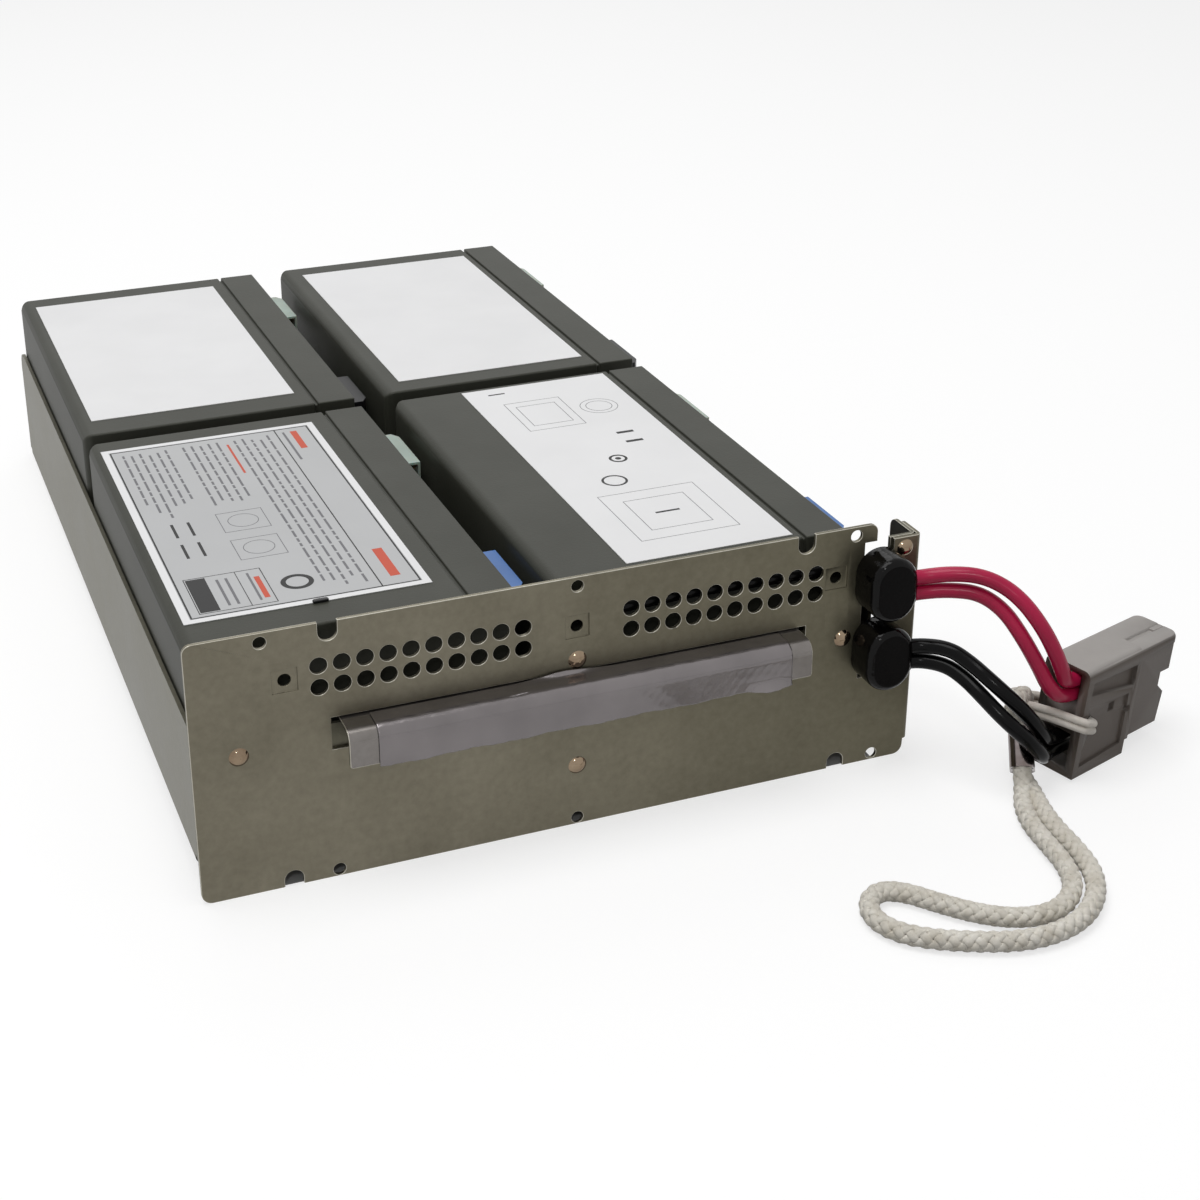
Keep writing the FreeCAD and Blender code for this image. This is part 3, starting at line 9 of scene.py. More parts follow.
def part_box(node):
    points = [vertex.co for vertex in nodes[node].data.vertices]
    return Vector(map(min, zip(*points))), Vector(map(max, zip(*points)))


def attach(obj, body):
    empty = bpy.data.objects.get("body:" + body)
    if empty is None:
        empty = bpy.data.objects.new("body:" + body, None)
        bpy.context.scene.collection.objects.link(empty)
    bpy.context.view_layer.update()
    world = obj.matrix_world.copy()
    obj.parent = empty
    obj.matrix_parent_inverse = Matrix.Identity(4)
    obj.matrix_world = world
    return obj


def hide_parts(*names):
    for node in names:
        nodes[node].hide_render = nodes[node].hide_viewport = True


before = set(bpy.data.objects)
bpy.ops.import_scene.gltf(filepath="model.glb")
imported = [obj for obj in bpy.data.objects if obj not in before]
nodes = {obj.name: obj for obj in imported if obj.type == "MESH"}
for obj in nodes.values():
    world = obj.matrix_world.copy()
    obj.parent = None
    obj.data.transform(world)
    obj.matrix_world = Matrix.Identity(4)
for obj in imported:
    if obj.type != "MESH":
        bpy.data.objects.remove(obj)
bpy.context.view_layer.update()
mm = 0.001
panelLow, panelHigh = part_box("front_panel")
panelWide = (panelHigh.x - panelLow.x) / mm
print("frame loaded:", len(nodes), "pieces")


# places are in millimetres from the panel's lower left front corner; this gives metres in the frame
def fromPanel(x, y, z):
    return np.array([panelLow.x + x * mm, panelLow.y + y * mm, z * mm])


# the cords' points are counted from the panel's right foot
def fromRightFoot(points):
    return [(panelWide + x, y, z) for x, y, z in points]


# materials

sockets = {
    "colour": "Base Color", "metal": "Metallic", "rough": "Roughness", "coat": "Coat Weight",
    "coatRough": "Coat Roughness", "shine": "Specular IOR Level", "sheen": "Sheen Weight",
    "under": "Subsurface Weight",
}


def newMaterial(name, **values):
    material = bpy.data.materials.new(name)
    material.use_nodes = True
    for key, value in values.items():
        shaderOf(material).inputs[sockets[key]].default_value = (*value, 1) if key == "colour" else value
    return material


def shaderOf(material):
    return material.node_tree.nodes["Principled BSDF"]


def addNode(material, kind, **values):
    node = material.node_tree.nodes.new(kind)
    for key, value in values.items():
        if key in node.inputs:
            node.inputs[key].default_value = value
        else:
            setattr(node, key, value)
    return node


def wire(material, source, target):
    material.node_tree.links.new(source, target)


# the place on the piece, stretched by a Mapping node
def objectPoint(material, stretch=(1, 1, 1), source="Object"):
    place = addNode(material, "ShaderNodeTexCoord")
    mapping = addNode(material, "ShaderNodeMapping", Scale=stretch)
    wire(material, place.outputs[source], mapping.inputs["Vector"])
    return mapping.outputs["Vector"]


def addNoise(material, point, scale, detail=3.0, rough=0.55):
    noise = addNode(material, "ShaderNodeTexNoise", Scale=scale, Detail=detail, Roughness=rough)
    wire(material, point, noise.inputs["Vector"])
    return noise.outputs["Fac"]


plain = (1.0, 1.0, 1.0)


# colours along a factor: each stop is a place and a colour
def addRamp(material, factor, stops):
    stops = list(stops)
    ramp = addNode(material, "ShaderNodeValToRGB")
    elements = ramp.color_ramp.elements
    while len(elements) < len(stops):
        elements.new(0.5)
    for element, (position, colour) in zip(elements, stops):
        element.position = position
        element.color = (*colour, 1)
    wire(material, factor, ramp.inputs["Fac"])
    return ramp.outputs["Color"]


def mixColours(material, factor, first, second, blend="MIX"):
    mix = addNode(material, "ShaderNodeMixRGB", blend_type=blend)
    for socket, source in zip(("Fac", "Color1", "Color2"), (factor, first, second)):
        if isinstance(source, (int, float)):
            mix.inputs[socket].default_value = source
        elif isinstance(source, tuple):
            mix.inputs[socket].default_value = (*source, 1)
        else:
            wire(material, source, mix.inputs[socket])
    return mix.outputs["Color"]


def addBump(material, height, strength, distance, before=None):
    bump = addNode(material, "ShaderNodeBump", Strength=strength, Distance=distance)
    wire(material, height, bump.inputs["Height"])
    if before is not None:
        wire(material, before, bump.inputs["Normal"])
    return bump.outputs["Normal"]


# roughness that spreads between two values with a factor
def spreadRoughness(material, factor, low, high):
    spread = addNode(material, "ShaderNodeMapRange")
    spread.inputs["To Min"].default_value = low
    spread.inputs["To Max"].default_value = high
    wire(material, factor, spread.inputs["Value"])
    wire(material, spread.outputs["Result"], shaderOf(material).inputs["Roughness"])


def setColour(material, colour):
    wire(material, colour, shaderOf(material).inputs["Base Color"])


def setNormal(material, normal):
    wire(material, normal, shaderOf(material).inputs["Normal"])


steelLook = {
    # panelEndShade is a painted shade over the panel's right end, which begins endShadeFrom along the panel
    "panel": ((0.160, 0.145, 0.106), (0.225, 0.206, 0.155)), "panelEndShade": (0.66, 0.66, 0.60),
    "tray": ((0.104, 0.098, 0.071), (0.146, 0.138, 0.103)),
    "handle": ((0.17, 0.155, 0.145), (0.24, 0.225, 0.215)), "handleRough": (0.2, 0.3), "handleGrain": 0.03,
    # edge: the colour of the cut edges, painted lighter than the sheet as a highlight
    "edge": ((0.42, 0.40, 0.34), (0.58, 0.56, 0.49)), "metal": 0.82, "endShadeFrom": 0.3,
    "blotchScale": 26, "blotches": (0.3, 0.72), "speckScale": 420, "speckShade": (0.86, 0.86, 0.85),
    "specks": (0.3, 0.7), "speckDeep": 0.0002, "grainScale": 1500, "grainDeep": 0.00012,
    "rough": (0.34, 0.5),
}


# zinc plated sheet: soft blotches, fine speckles and grain, and where asked a painted shade that darkens it
# towards the right end
def steelMaterial(name, dark, light, paintedEndShade=None, rough=steelLook["rough"], grain=0.2):
    material = newMaterial(name, metal=steelLook["metal"])
    point = objectPoint(material)
    blotches = addNoise(material, point, steelLook["blotchScale"], detail=6, rough=0.62)
    specks = addNoise(material, point, steelLook["speckScale"], detail=3, rough=0.6)
    colour = addRamp(material, blotches, zip(steelLook["blotches"], (dark, light)))
    speckTint = addRamp(material, specks, zip(steelLook["specks"], (steelLook["speckShade"], plain)))
    colour = mixColours(material, 1.0, colour, speckTint, "MULTIPLY")
    # painted shade: the ramp below darkens the steel towards the right end
    if paintedEndShade is not None:  # the colour darkens towards the right end
        split = addNode(material, "ShaderNodeSeparateXYZ")
        wire(material, point, split.inputs[0])
        along = addNode(material, "ShaderNodeMapRange")
        along.inputs["From Min"].default_value = panelLow.x + steelLook["endShadeFrom"] * panelWide * mm
        along.inputs["From Max"].default_value = panelHigh.x
        wire(material, split.outputs["X"], along.inputs["Value"])
        tint = addRamp(material, along.outputs["Result"], [(0.0, plain), (1.0, paintedEndShade)])
        colour = mixColours(material, 1.0, colour, tint, "MULTIPLY")
    setColour(material, colour)
    spreadRoughness(material, blotches, *rough)
    fine = addNoise(material, point, steelLook["grainScale"], detail=2)
    coarse = addBump(material, specks, grain / 2, steelLook["speckDeep"])
    setNormal(material, addBump(material, fine, grain, steelLook["grainDeep"], coarse))
    return material


# sideTop: where the painted side shade gives way to the top's colour, along the upward normal
plasticLook = {"cloudScale": 35, "clouds": (0.3, 0.7), "deep": 0.00015, "sideTop": (0.25, 0.8)}


# moulded plastic with a fine spark grain, and where asked painted shade that darkens its sides against its
# top
def mouldedMaterial(name, dark, light, rough, grainScale=1300, grain=0.35, shine=0.22, paintedSideShade=None):
    material = newMaterial(name, rough=rough, shine=shine)
    point = objectPoint(material)
    cloud = addNoise(material, point, plasticLook["cloudScale"], detail=4)
    colour = addRamp(material, cloud, zip(plasticLook["clouds"], (dark, light)))
    # painted shade: a colour ramp on the upward normal darkens the sides against the top
    if paintedSideShade is not None:  # its sides are darker than its top
        split = addNode(material, "ShaderNodeSeparateXYZ")
        wire(material, addNode(material, "ShaderNodeTexCoord").outputs["Normal"], split.inputs[0])
        tint = addRamp(material, split.outputs["Z"], zip(plasticLook["sideTop"], (paintedSideShade, plain)))
        colour = mixColours(material, 1.0, colour, tint, "MULTIPLY")
    setColour(material, colour)
    height = addNoise(material, point, grainScale)
    setNormal(material, addBump(material, height, grain, plasticLook["deep"]))
    return material


softLook = {"shade": 0.8, "cloudScale": 60, "clouds": (0.3, 0.65), "deep": 0.0003}


# soft smooth insulation with slow ripples in its skin
def softMaterial(name, colour, rough, waveScale=120, wave=0.25, **values):
    material = newMaterial(name, rough=rough, **values)
    point = objectPoint(material)
    height = addNoise(material, point, waveScale)
    shade = tuple(softLook["shade"] * part for part in colour)
    cloud = addNoise(material, point, softLook["cloudScale"])
    setColour(material, addRamp(material, cloud, zip(softLook["clouds"], (shade, colour))))
    setNormal(material, addBump(material, height, wave, softLook["deep"]))
    return material


yarnLook = {
    "rough": 0.62, "sheen": 0.2, "shine": 0.25, "threadLong": 0.06, "cloudScale": 240, "clouds": (0.3, 0.7),
    "threads": 0.5, "deep": 0.00015,
}


# yarn: threads run along the strand's own map
def fibreMaterial(name, shade, light, scale):
    material = newMaterial(name, **{key: yarnLook[key] for key in ("rough", "sheen", "shine")})
    point = objectPoint(material, (scale, scale * yarnLook["threadLong"], 1), "UV")
    threads = addNoise(material, point, 1.0, detail=2)
    cloud = addNoise(material, objectPoint(material), yarnLook["cloudScale"])
    setColour(material, addRamp(material, cloud, zip(yarnLook["clouds"], (shade, light))))
    setNormal(material, addBump(material, threads, yarnLook["threads"], yarnLook["deep"]))
    return material


paperLook = {
    "shine": 0.2, "shade": 0.965, "cloudScale": 30, "clouds": (0.35, 0.65), "fibreScale": 700,
    "fibres": 0.06, "deep": 0.0001,
}


# coated paper with faint clouds and fibres
def paperMaterial(name, colour, rough=0.5):
    material = newMaterial(name, rough=rough, shine=paperLook["shine"])
    point = objectPoint(material)
    shade = tuple(paperLook["shade"] * part for part in colour)
    cloud = addNoise(material, point, paperLook["cloudScale"])
    setColour(material, addRamp(material, cloud, zip(paperLook["clouds"], (shade, colour))))
    fibres = addNoise(material, point, paperLook["fibreScale"])
    setNormal(material, addBump(material, fibres, paperLook["fibres"], paperLook["deep"]))
    return material


brightLook = {
    "cloudScale": 160, "clouds": (0.3, 0.7), "roughLeast": 0.8, "roughMost": 1.3, "scratchScale": 900,
    "scratches": 0.08, "deep": 0.0001,
}


# polished metal with soft scratches
def brightMaterial(name, dark, light, rough):
    material = newMaterial(name, metal=1.0)
    point = objectPoint(material)
    cloud = addNoise(material, point, brightLook["cloudScale"], detail=4)
    setColour(material, addRamp(material, cloud, zip(brightLook["clouds"], (dark, light))))
    spreadRoughness(material, cloud, rough * brightLook["roughLeast"], rough * brightLook["roughMost"])
    scratches = addNoise(material, point, brightLook["scratchScale"], detail=2)
    setNormal(material, addBump(material, scratches, brightLook["scratches"], brightLook["deep"]))
    return material


# the panel's steel is darkened towards its right end by painted shade
panelSteel = steelMaterial("panelSteel", *steelLook["panel"], steelLook["panelEndShade"])
traySteel = steelMaterial("traySteel", *steelLook["tray"])
handleSteel = steelMaterial("handleSteel", *steelLook["handle"], rough=steelLook["handleRough"],
                            grain=steelLook["handleGrain"])
# cut edges painted lighter than the sheet: a painted highlight along the rims
cutEdgeHighlight = steelMaterial("cutEdgeHighlight", *steelLook["edge"])
rivetMetal = brightMaterial("rivetMetal", (0.17, 0.12, 0.08), (0.30, 0.23, 0.16), 0.11)
batteryPlastic = mouldedMaterial("batteryPlastic", (0.031, 0.032, 0.024), (0.042, 0.043, 0.034), 0.5)
labelWhite = paperMaterial("labelWhite", (0.79, 0.79, 0.795))
labelSilver = paperMaterial("labelSilver", (0.47, 0.475, 0.48), 0.38)
labelInk = paperMaterial("labelInk", (0.02, 0.02, 0.02))
labelGreyInk = paperMaterial("labelGreyInk", (0.16, 0.16, 0.17))
labelRedInk = paperMaterial("labelRedInk", (0.55, 0.09, 0.05))
bladeTin = brightMaterial("bladeTin", (0.45, 0.43, 0.37), (0.6, 0.58, 0.52), 0.3)
paleVinyl = softMaterial("paleVinyl", (0.40, 0.46, 0.39), 0.34, under=0.15, shine=0.35)
blueVinyl = softMaterial("blueVinyl", (0.045, 0.15, 0.42), 0.32, shine=0.35)
blackVinyl = softMaterial("blackVinyl", (0.008, 0.008, 0.009), 0.35, shine=0.25)
redInsulation = softMaterial("redInsulation", (0.46, 0.012, 0.065), 0.24, 90, 0.12, shine=0.22)
blackInsulation = softMaterial("blackInsulation", (0.003, 0.003, 0.0032), 0.18, 90, 0.12, shine=0.1)
bootRubber = softMaterial("bootRubber", (0.003, 0.0027, 0.0026), 0.1, 260, 1.0, shine=0.13)
bootFace = softMaterial("bootFace", (0.0035, 0.003, 0.003), 0.3, 500, 0.5, shine=0.05)
# the connector's plastic has painted shade on its sides
connectorPlastic = mouldedMaterial("connectorPlastic", (0.29, 0.272, 0.258), (0.36, 0.34, 0.322), 0.5, 900,
                                   0.25, paintedSideShade=(0.32, 0.28, 0.25))
contactMetal = brightMaterial("contactMetal", (0.5, 0.48, 0.42), (0.7, 0.68, 0.62), 0.22)
sleeveMetal = brightMaterial("sleeveMetal", (0.15, 0.12, 0.11), (0.27, 0.24, 0.24), 0.13)
ropeYarn = fibreMaterial("ropeYarn", (0.60, 0.56, 0.48), (0.80, 0.77, 0.70), 3000)
cordYarn = fibreMaterial("cordYarn", (0.60, 0.55, 0.49), (0.76, 0.72, 0.66), 2000)
clearFilm = softMaterial("clearFilm", (0.185, 0.168, 0.17), 0.2, 45, 0.03, metal=0.75, coat=0.5,
                         coatRough=0.12)

finishes = {
    "front_panel": panelSteel, "side_bracket": traySteel, "tray": traySteel, "pull_handle": handleSteel,
    "rivets": rivetMetal, "label_front_left": labelSilver, "crimp_sleeve": sleeveMetal,
    "connector_housing": connectorPlastic, "handle_film": clearFilm,
}
startsWith = {
    "case_": batteryPlastic, "lid_": batteryPlastic, "label_": labelWhite, "terminal_": bladeTin,
    "pale_cover": paleVinyl, "blue_cover": blueVinyl, "black_cover": blackVinyl, "red_": redInsulation,
    "black_": blackInsulation, "jumper": blackInsulation, "sleeved": blackInsulation,
    "upper_boot": bootRubber, "lower_boot": bootRubber, "upper_contact": contactMetal,
    "lower_contact": contactMetal, "pull_rope": ropeYarn, "tie_cord": cordYarn,
}


def finishOf(name):
    if name in finishes:
        return finishes[name]
    return next(material for start, material in startsWith.items() if name.startswith(start))


for name, node in nodes.items():
    node.data.materials.clear()
    node.data.materials.append(finishOf(name))
print("materials made")


# pieces

def newPiece(name, mesh, material, replaced=()):
    piece = bpy.data.objects.new(name, mesh)
    bpy.context.scene.collection.objects.link(piece)
    if not mesh.materials:
        mesh.materials.append(material)
    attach(piece, "root")
    if replaced:
        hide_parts(*replaced)
    return piece


mergeWithin, flatWithin = 2e-6, 0.4


# merges points, joins flat faces or closes open ends where asked, and turns every face outwards
def cleanMesh(mesh, merge=True, flats=False, ends=False):
    work = bmesh.new()
    work.from_mesh(mesh)
    if merge:
        bmesh.ops.remove_doubles(work, verts=work.verts, dist=mergeWithin)
    if flats:
        bmesh.ops.dissolve_limit(work, angle_limit=math.radians(flatWithin), verts=work.verts,
                                 edges=work.edges)
    if ends:
        bmesh.ops.holes_fill(work, edges=work.edges)
    bmesh.ops.recalc_face_normals(work, faces=work.faces)
    work.to_mesh(mesh)
    work.free()


def smoothMesh(mesh, angle=180):
    mesh.polygons.foreach_set("use_smooth", np.ones(len(mesh.polygons), bool))
    if angle < 180:
        mesh.set_sharp_from_angle(angle=math.radians(angle))


# a mesh over a grid of points, an array of rows by columns by three
def gridMesh(name, points):
    rows, columns = points.shape[:2]
    index = np.arange(rows * columns).reshape(rows, columns)
    corners = [index[:-1, :-1], index[:-1, 1:], index[1:, 1:], index[1:, :-1]]
    mesh = bpy.data.meshes.new(name)
    mesh.from_pydata(points.reshape(-1, 3).tolist(), [], np.stack(corners, -1).reshape(-1, 4).tolist())
    return mesh


dressAngle = 32  # in degrees: edges sharper than this are rounded


# a merged copy of a sheet or moulded piece with its edges slightly rounded
def dressCopy(node, name, edge, steps, edgeMaterial=None):
    mesh = nodes[node].data.copy()
    cleanMesh(mesh, flats=edge > 0)
    smoothMesh(mesh, dressAngle)
    piece = newPiece(name, mesh, finishOf(node), [node])
    if not edge:  # its edges are round already, so only its flats are kept flat
        piece.modifiers.new("normals", "WEIGHTED_NORMAL").keep_sharp = True
        return piece
    bevel = piece.modifiers.new("edges", "BEVEL")
    bevel.width, bevel.segments = edge * mm, steps
    bevel.limit_method, bevel.angle_limit = "ANGLE", math.radians(dressAngle)
    bevel.use_clamp_overlap = False
    bevel.harden_normals = True
    # the rounded edges take the edge material, a painted highlight on the sheet pieces
    if edgeMaterial is not None:
        mesh.materials.append(edgeMaterial)
        bevel.material = 1
    return piece


# the dimples' places across, their height and half their width, in panel millimetres
dimples = {"places": (27.1, 112.1, 194.7), "row": 65.4, "half": 4.6}


# the edges of the squares pressed round three screw holes are not cut, so they keep the sheet's own colour
# without the painted edge highlight
def plateDimples(piece):
    mesh = bpy.data.meshes.new_from_object(piece.evaluated_get(bpy.context.evaluated_depsgraph_get()))
    piece.modifiers.clear()
    piece.data = mesh
    centres = np.empty(len(mesh.polygons) * 3)
    mesh.polygons.foreach_get("center", centres)
    x, _, z = ((centres.reshape(-1, 3) - fromPanel(0, 0, 0)) / mm).T
    pressed = np.abs(z - dimples["row"]) < dimples["half"]
    pressed &= np.min(np.abs(x[:, None] - np.array(dimples["places"])), 1) < dimples["half"]
    finish = np.empty(len(mesh.polygons), np.int32)
    mesh.polygons.foreach_get("material_index", finish)
    finish[pressed] = 0
    mesh.polygons.foreach_set("material_index", finish)


plateDimples(dressCopy("front_panel", "frontPanel", 0.16, 2, cutEdgeHighlight))
dressCopy("pull_handle", "pullHandle", 0.2, 2, cutEdgeHighlight)
dressCopy("side_bracket", "sideBracket", 0.16, 2, cutEdgeHighlight)
dressCopy("connector_housing", "connectorHousing", 0, 0)
for corner in ("front_left", "front_right", "rear_left", "rear_right"):
    dressCopy("case_" + corner, "case." + corner, 0.7, 3)
    dressCopy("lid_" + corner, "lid." + corner, 0.45, 3)


boot = {"edge": 0.3, "steps": 2, "facing": 0.95, "near": 0.1}


# a boot: a matt front face inside a glossy rolled rim
def makeBoot(node, name):
    piece = dressCopy(node, name, boot["edge"], boot["steps"])
    piece.data.materials.append(bootFace)
    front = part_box(node)[0].y
    for face in piece.data.polygons:
        if face.normal.y < -boot["facing"] and abs(face.center.y - front) < boot["near"] * mm:
            face.material_index = 1


makeBoot("upper_boot", "upperBoot")
makeBoot("lower_boot", "lowerBoot")
print("sheet and moulded pieces dressed")


# the film over the handle, with an opaque sheen

# a curl has its two ends along the film, its height and its reach; a wave or ripple has its size, how
# fast it runs along and down the film, and its shift
film = {
    "start": 0.7, "lift": 0.05, "ripple": 0.09, "uneven": 0.16, "bend": 4.2, "edgeWave": 0.2,
    "rows": 90, "columns": 260, "thick": 0.06, "curlWide": 2.2,
    "footCurl": (163.0, 175.0, 2.2, 3.2), "shelfCurl": (98.0, 118.0, 1.3, 2.4),
    "edgeWaves": ((1.0, 0.23, 0.0), (0.6, 0.61, 1.0), (0.3, 1.7, 0.0)),
    "ripples": ((1.0, 0.31, 0.5, 0.0), (1.0, 0.83, -0.9, 2.0), (0.6, 2.1, 1.7, 0.0),
                (0.5, -0.2, 1.9, 0.0)),
}


# the film's section is three stretches laid end to end, the shelf, a quarter circle and the lip, and
# each point moves outwards by the ripple, a sum of long and short waves, and by the curls at its edges
def makeFilm():
    low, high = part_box("handle_film")
    left, right = (low.x - panelLow.x) / mm, (high.x - panelLow.x) / mm
    front, top, foot = (low.y - panelLow.y) / mm, high.z / mm, low.z / mm
    bend = film["bend"]
    shelf = -film["start"] - (front + bend)
    arc = bend * math.pi / 2
    x = np.linspace(left, right, film["columns"])[None, :]
    wave = sum(size * np.sin(x * along + shift) for size, along, shift in film["edgeWaves"])
    length = shelf + arc + (top - bend - foot) + film["edgeWave"] * wave
    s = np.linspace(0, 1, film["rows"])[:, None] * length
    x = x + 0 * s
    turn = np.clip((s - shelf) / arc, 0, 1) * math.pi / 2
    y = -film["start"] - np.minimum(s, shelf) - bend * np.sin(turn)
    z = top - bend + bend * np.cos(turn) - np.maximum(s - shelf - arc, 0)
    ripple = sum(size * np.sin(x * along + s * down + shift)
                 for size, along, down, shift in film["ripples"])
    out = film["lift"] + film["ripple"] * (0.5 + film["uneven"] * ripple)
    for (begin, end, height, reach), edge in ((film["footCurl"], length - s), (film["shelfCurl"], s)):
        swell = np.exp(-((x - (begin + end) / 2) / (end - begin) * film["curlWide"]) ** 2)
        out = out + height * swell * np.clip((reach - edge) / reach, 0, 1) ** 2
    y, z = y - out * np.sin(turn), z + out * np.cos(turn)
    points = np.stack([panelLow.x + x * mm, panelLow.y + y * mm, z * mm], -1)
    mesh = gridMesh("handleFilm", points)
    smoothMesh(mesh)
    piece = newPiece("handleFilm", mesh, clearFilm, ["handle_film"])
    wall = piece.modifiers.new("wall", "SOLIDIFY")
    wall.thickness, wall.offset = film["thick"] * mm, 0


makeFilm()
print("film laid over the handle")


# marks on the labels: plain bars, rings and frames

marks = {
    "above": 0.02, "thick": 0.02, "ringSteps": 40, "seed": 11,
    "dashLong": (2.0, 8.5), "dashWide": 0.75, "dashGap": 1.1, "rowEnd": 124.0, "rowSpare": 2.0,
}

# in millimetres, across and then along the label from its front left corner: bars and outlines have two
# ends or corners and a width, rings a middle, a radius and a width, and rows of dashes their places
# across, where they begin and by how much that varies
labelMarks = {
    "label_front_left": {
        "margin": {
            "ink": labelWhite, "slot": "label_white",
            "bars": [(1.1, 2.2, 1.1, 128.0, 2.2), (69.9, 2.2, 69.9, 128.0, 2.2), (0, 1.1, 71, 1.1, 2.2),
                     (0, 129.1, 71, 129.1, 2.2)],
        },
        "lines": {
            "ink": labelInk, "slot": "label_grey",
            "outlines": [(2.7, 2.7, 68.3, 127.5, 0.52), (5.4, 4.6, 27.5, 27.0, 0.28)],
            "bars": [(57.2, 2.7, 57.2, 127.5, 0.4), (20.2, 4.6, 20.2, 27.0, 0.24),
                     (8.6, 5.2, 8.6, 26.4, 5.6), (10.0, 40.5, 10.0, 50.5, 0.9),
                     (10.0, 55.5, 10.0, 65.5, 0.9), (15.0, 40.5, 15.0, 50.5, 0.9),
                     (15.0, 55.5, 15.0, 65.5, 0.9)],
            "rings": [(35.5, 14.5, 4.0, 1.5)],
        },
        "rows": {
            "ink": labelGreyInk, "slot": "label_grey",
            "outlines": [(24.0, 34.0, 38.0, 48.0, 0.24), (24.0, 54.0, 38.0, 68.0, 0.24)],
            "bars": [(23.4, 7.0, 23.4, 25.0, 0.7), (17.0, 7.0, 17.0, 24.0, 0.8),
                     (14.4, 7.0, 14.4, 24.0, 0.8), (59.6, 100.0, 59.6, 124.5, 0.8)],
            "rings": [(31.0, 41.0, 4.6, 0.24), (31.0, 61.0, 4.6, 0.24)],
            "dashes": [((54.0, 51.2, 48.4, 45.6, 42.8), 6.5, 6), ((37.0, 34.2, 31.4, 28.6, 25.8), 74.0, 9),
                       ((20.0, 17.2, 14.4, 11.6, 8.8, 6.2), 70.0, 16)],
        },
        "fields": {
            "ink": labelRedInk, "slot": "label_grey",
            "bars": [(63.0, 109.0, 63.0, 124.5, 2.2), (62.6, 8.0, 62.6, 27.0, 3.0),
                     (40.0, 96.0, 40.0, 121.0, 0.75), (25.4, 8.0, 25.4, 22.0, 1.6)],
        },
    },
    "label_front_right": {
        "frames": {
            "ink": labelGreyInk, "slot": "label_grey",
            "outlines": [(10.0, 104.0, 30.0, 130.0, 0.22), (13.0, 108.0, 27.0, 126.0, 0.22),
                         (10.0, 12.0, 42.0, 46.0, 0.22), (16.0, 18.0, 36.0, 40.0, 0.22)],
            "rings": [(40.0, 117.0, 6.5, 0.22), (40.0, 117.0, 4.5, 0.22)],
        },
        "rings": {
            "ink": labelInk, "slot": "label_grey",
            "bars": [(22.0, 29.0, 30.0, 29.0, 1.0), (8.0, 140.0, 14.0, 140.0, 0.9),
                     (36.0, 84.0, 42.0, 84.0, 1.6), (36.0, 92.0, 42.0, 92.0, 1.6)],
            "rings": [(28.0, 72.0, 2.6, 0.9), (28.0, 72.0, 0.5, 1.0), (20.0, 56.0, 3.8, 0.8)],
        },
    },
}


# a bar from one point to another, as four corners
def bar(x0, y0, x1, y1, wide):
    start, end = np.array([x0, y0]), np.array([x1, y1])
    side = np.array([y0 - y1, x1 - x0]) / np.hypot(x1 - x0, y1 - y0) * wide / 2
    return [np.stack([start + side, start - side, end - side, end + side])]


# an outline: four bars that meet at its corners without overlapping
def outline(x0, y0, x1, y1, wide):
    half = wide / 2
    return (bar(x0 - half, y0, x1 + half, y0, wide) + bar(x0 - half, y1, x1 + half, y1, wide)
            + bar(x0, y0 + half, x0, y1 - half, wide) + bar(x1, y0 + half, x1, y1 - half, wide))


# a ring: short bars between two circles
def ring(x, y, radius, wide):
    steps = marks["ringSteps"]
    angle = np.linspace(0, 2 * np.pi, steps + 1)
    circle = np.stack([np.cos(angle), np.sin(angle)], -1)
    inner, outer = (np.array([x, y]) + circle * (radius + side * wide / 2) for side in (-1, 1))
    return [np.stack([inner[i], outer[i], outer[i + 1], inner[i + 1]]) for i in range(steps)]


# a row of dashes of uneven length along the label's depth
def dashes(x, begin, random):
    row, place = [], begin
    while place < marks["rowEnd"] - marks["rowSpare"]:
        end = min(place + random.uniform(*marks["dashLong"]), marks["rowEnd"])
        row += bar(x, place, x, end, marks["dashWide"])
        place = end + marks["dashGap"]
    return row


# every shape of one layer of marks
def shapesOf(facts, random):
    shapes = []
    for key, draw in (("outlines", outline), ("bars", bar), ("rings", ring)):
        for shape in facts.get(key, ()):
            shapes += draw(*shape)
    for rows, begin, spread in facts.get("dashes", ()):
        for x in rows:
            shapes += dashes(x, begin + random.uniform(0, spread), random)
    return shapes


# one thin piece of a layer's shapes, just above its label
def layMarks(label, name, shapes, material):
    low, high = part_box(label)
    corners = np.concatenate(shapes) * mm + np.array([low.x, low.y])
    level = np.full((len(corners), 1), high.z + marks["above"] * mm)
    mesh = bpy.data.meshes.new(name)
    faces = np.arange(len(corners)).reshape(-1, 4)
    mesh.from_pydata(np.concatenate([corners, level], 1).tolist(), [], faces.tolist())
    work = bmesh.new()
    work.from_mesh(mesh)
    bmesh.ops.reverse_faces(work, faces=[face for face in work.faces if face.normal.z < 0])
    work.to_mesh(mesh)
    work.free()
    piece = newPiece(name, mesh, material)
    wall = piece.modifiers.new("wall", "SOLIDIFY")
    wall.thickness, wall.offset = marks["thick"] * mm, -1


random = np.random.default_rng(marks["seed"])
for label, layers in labelMarks.items():
    for layer, facts in layers.items():
        layMarks(label, "label." + layer, shapesOf(facts, random), facts["ink"])
print("labels marked")

clip = {
    "along": 38.4, "front": 0.2, "rise": 0.27, "half": (2.3, 0.8, 0.45), "square": 0.45, "rings": 18,
    "columns": 36, "smooth": 50,
}


# a signed power, which squares off a cosine or sine
def squared(values, power):
    return np.sign(values) * np.abs(values) ** power


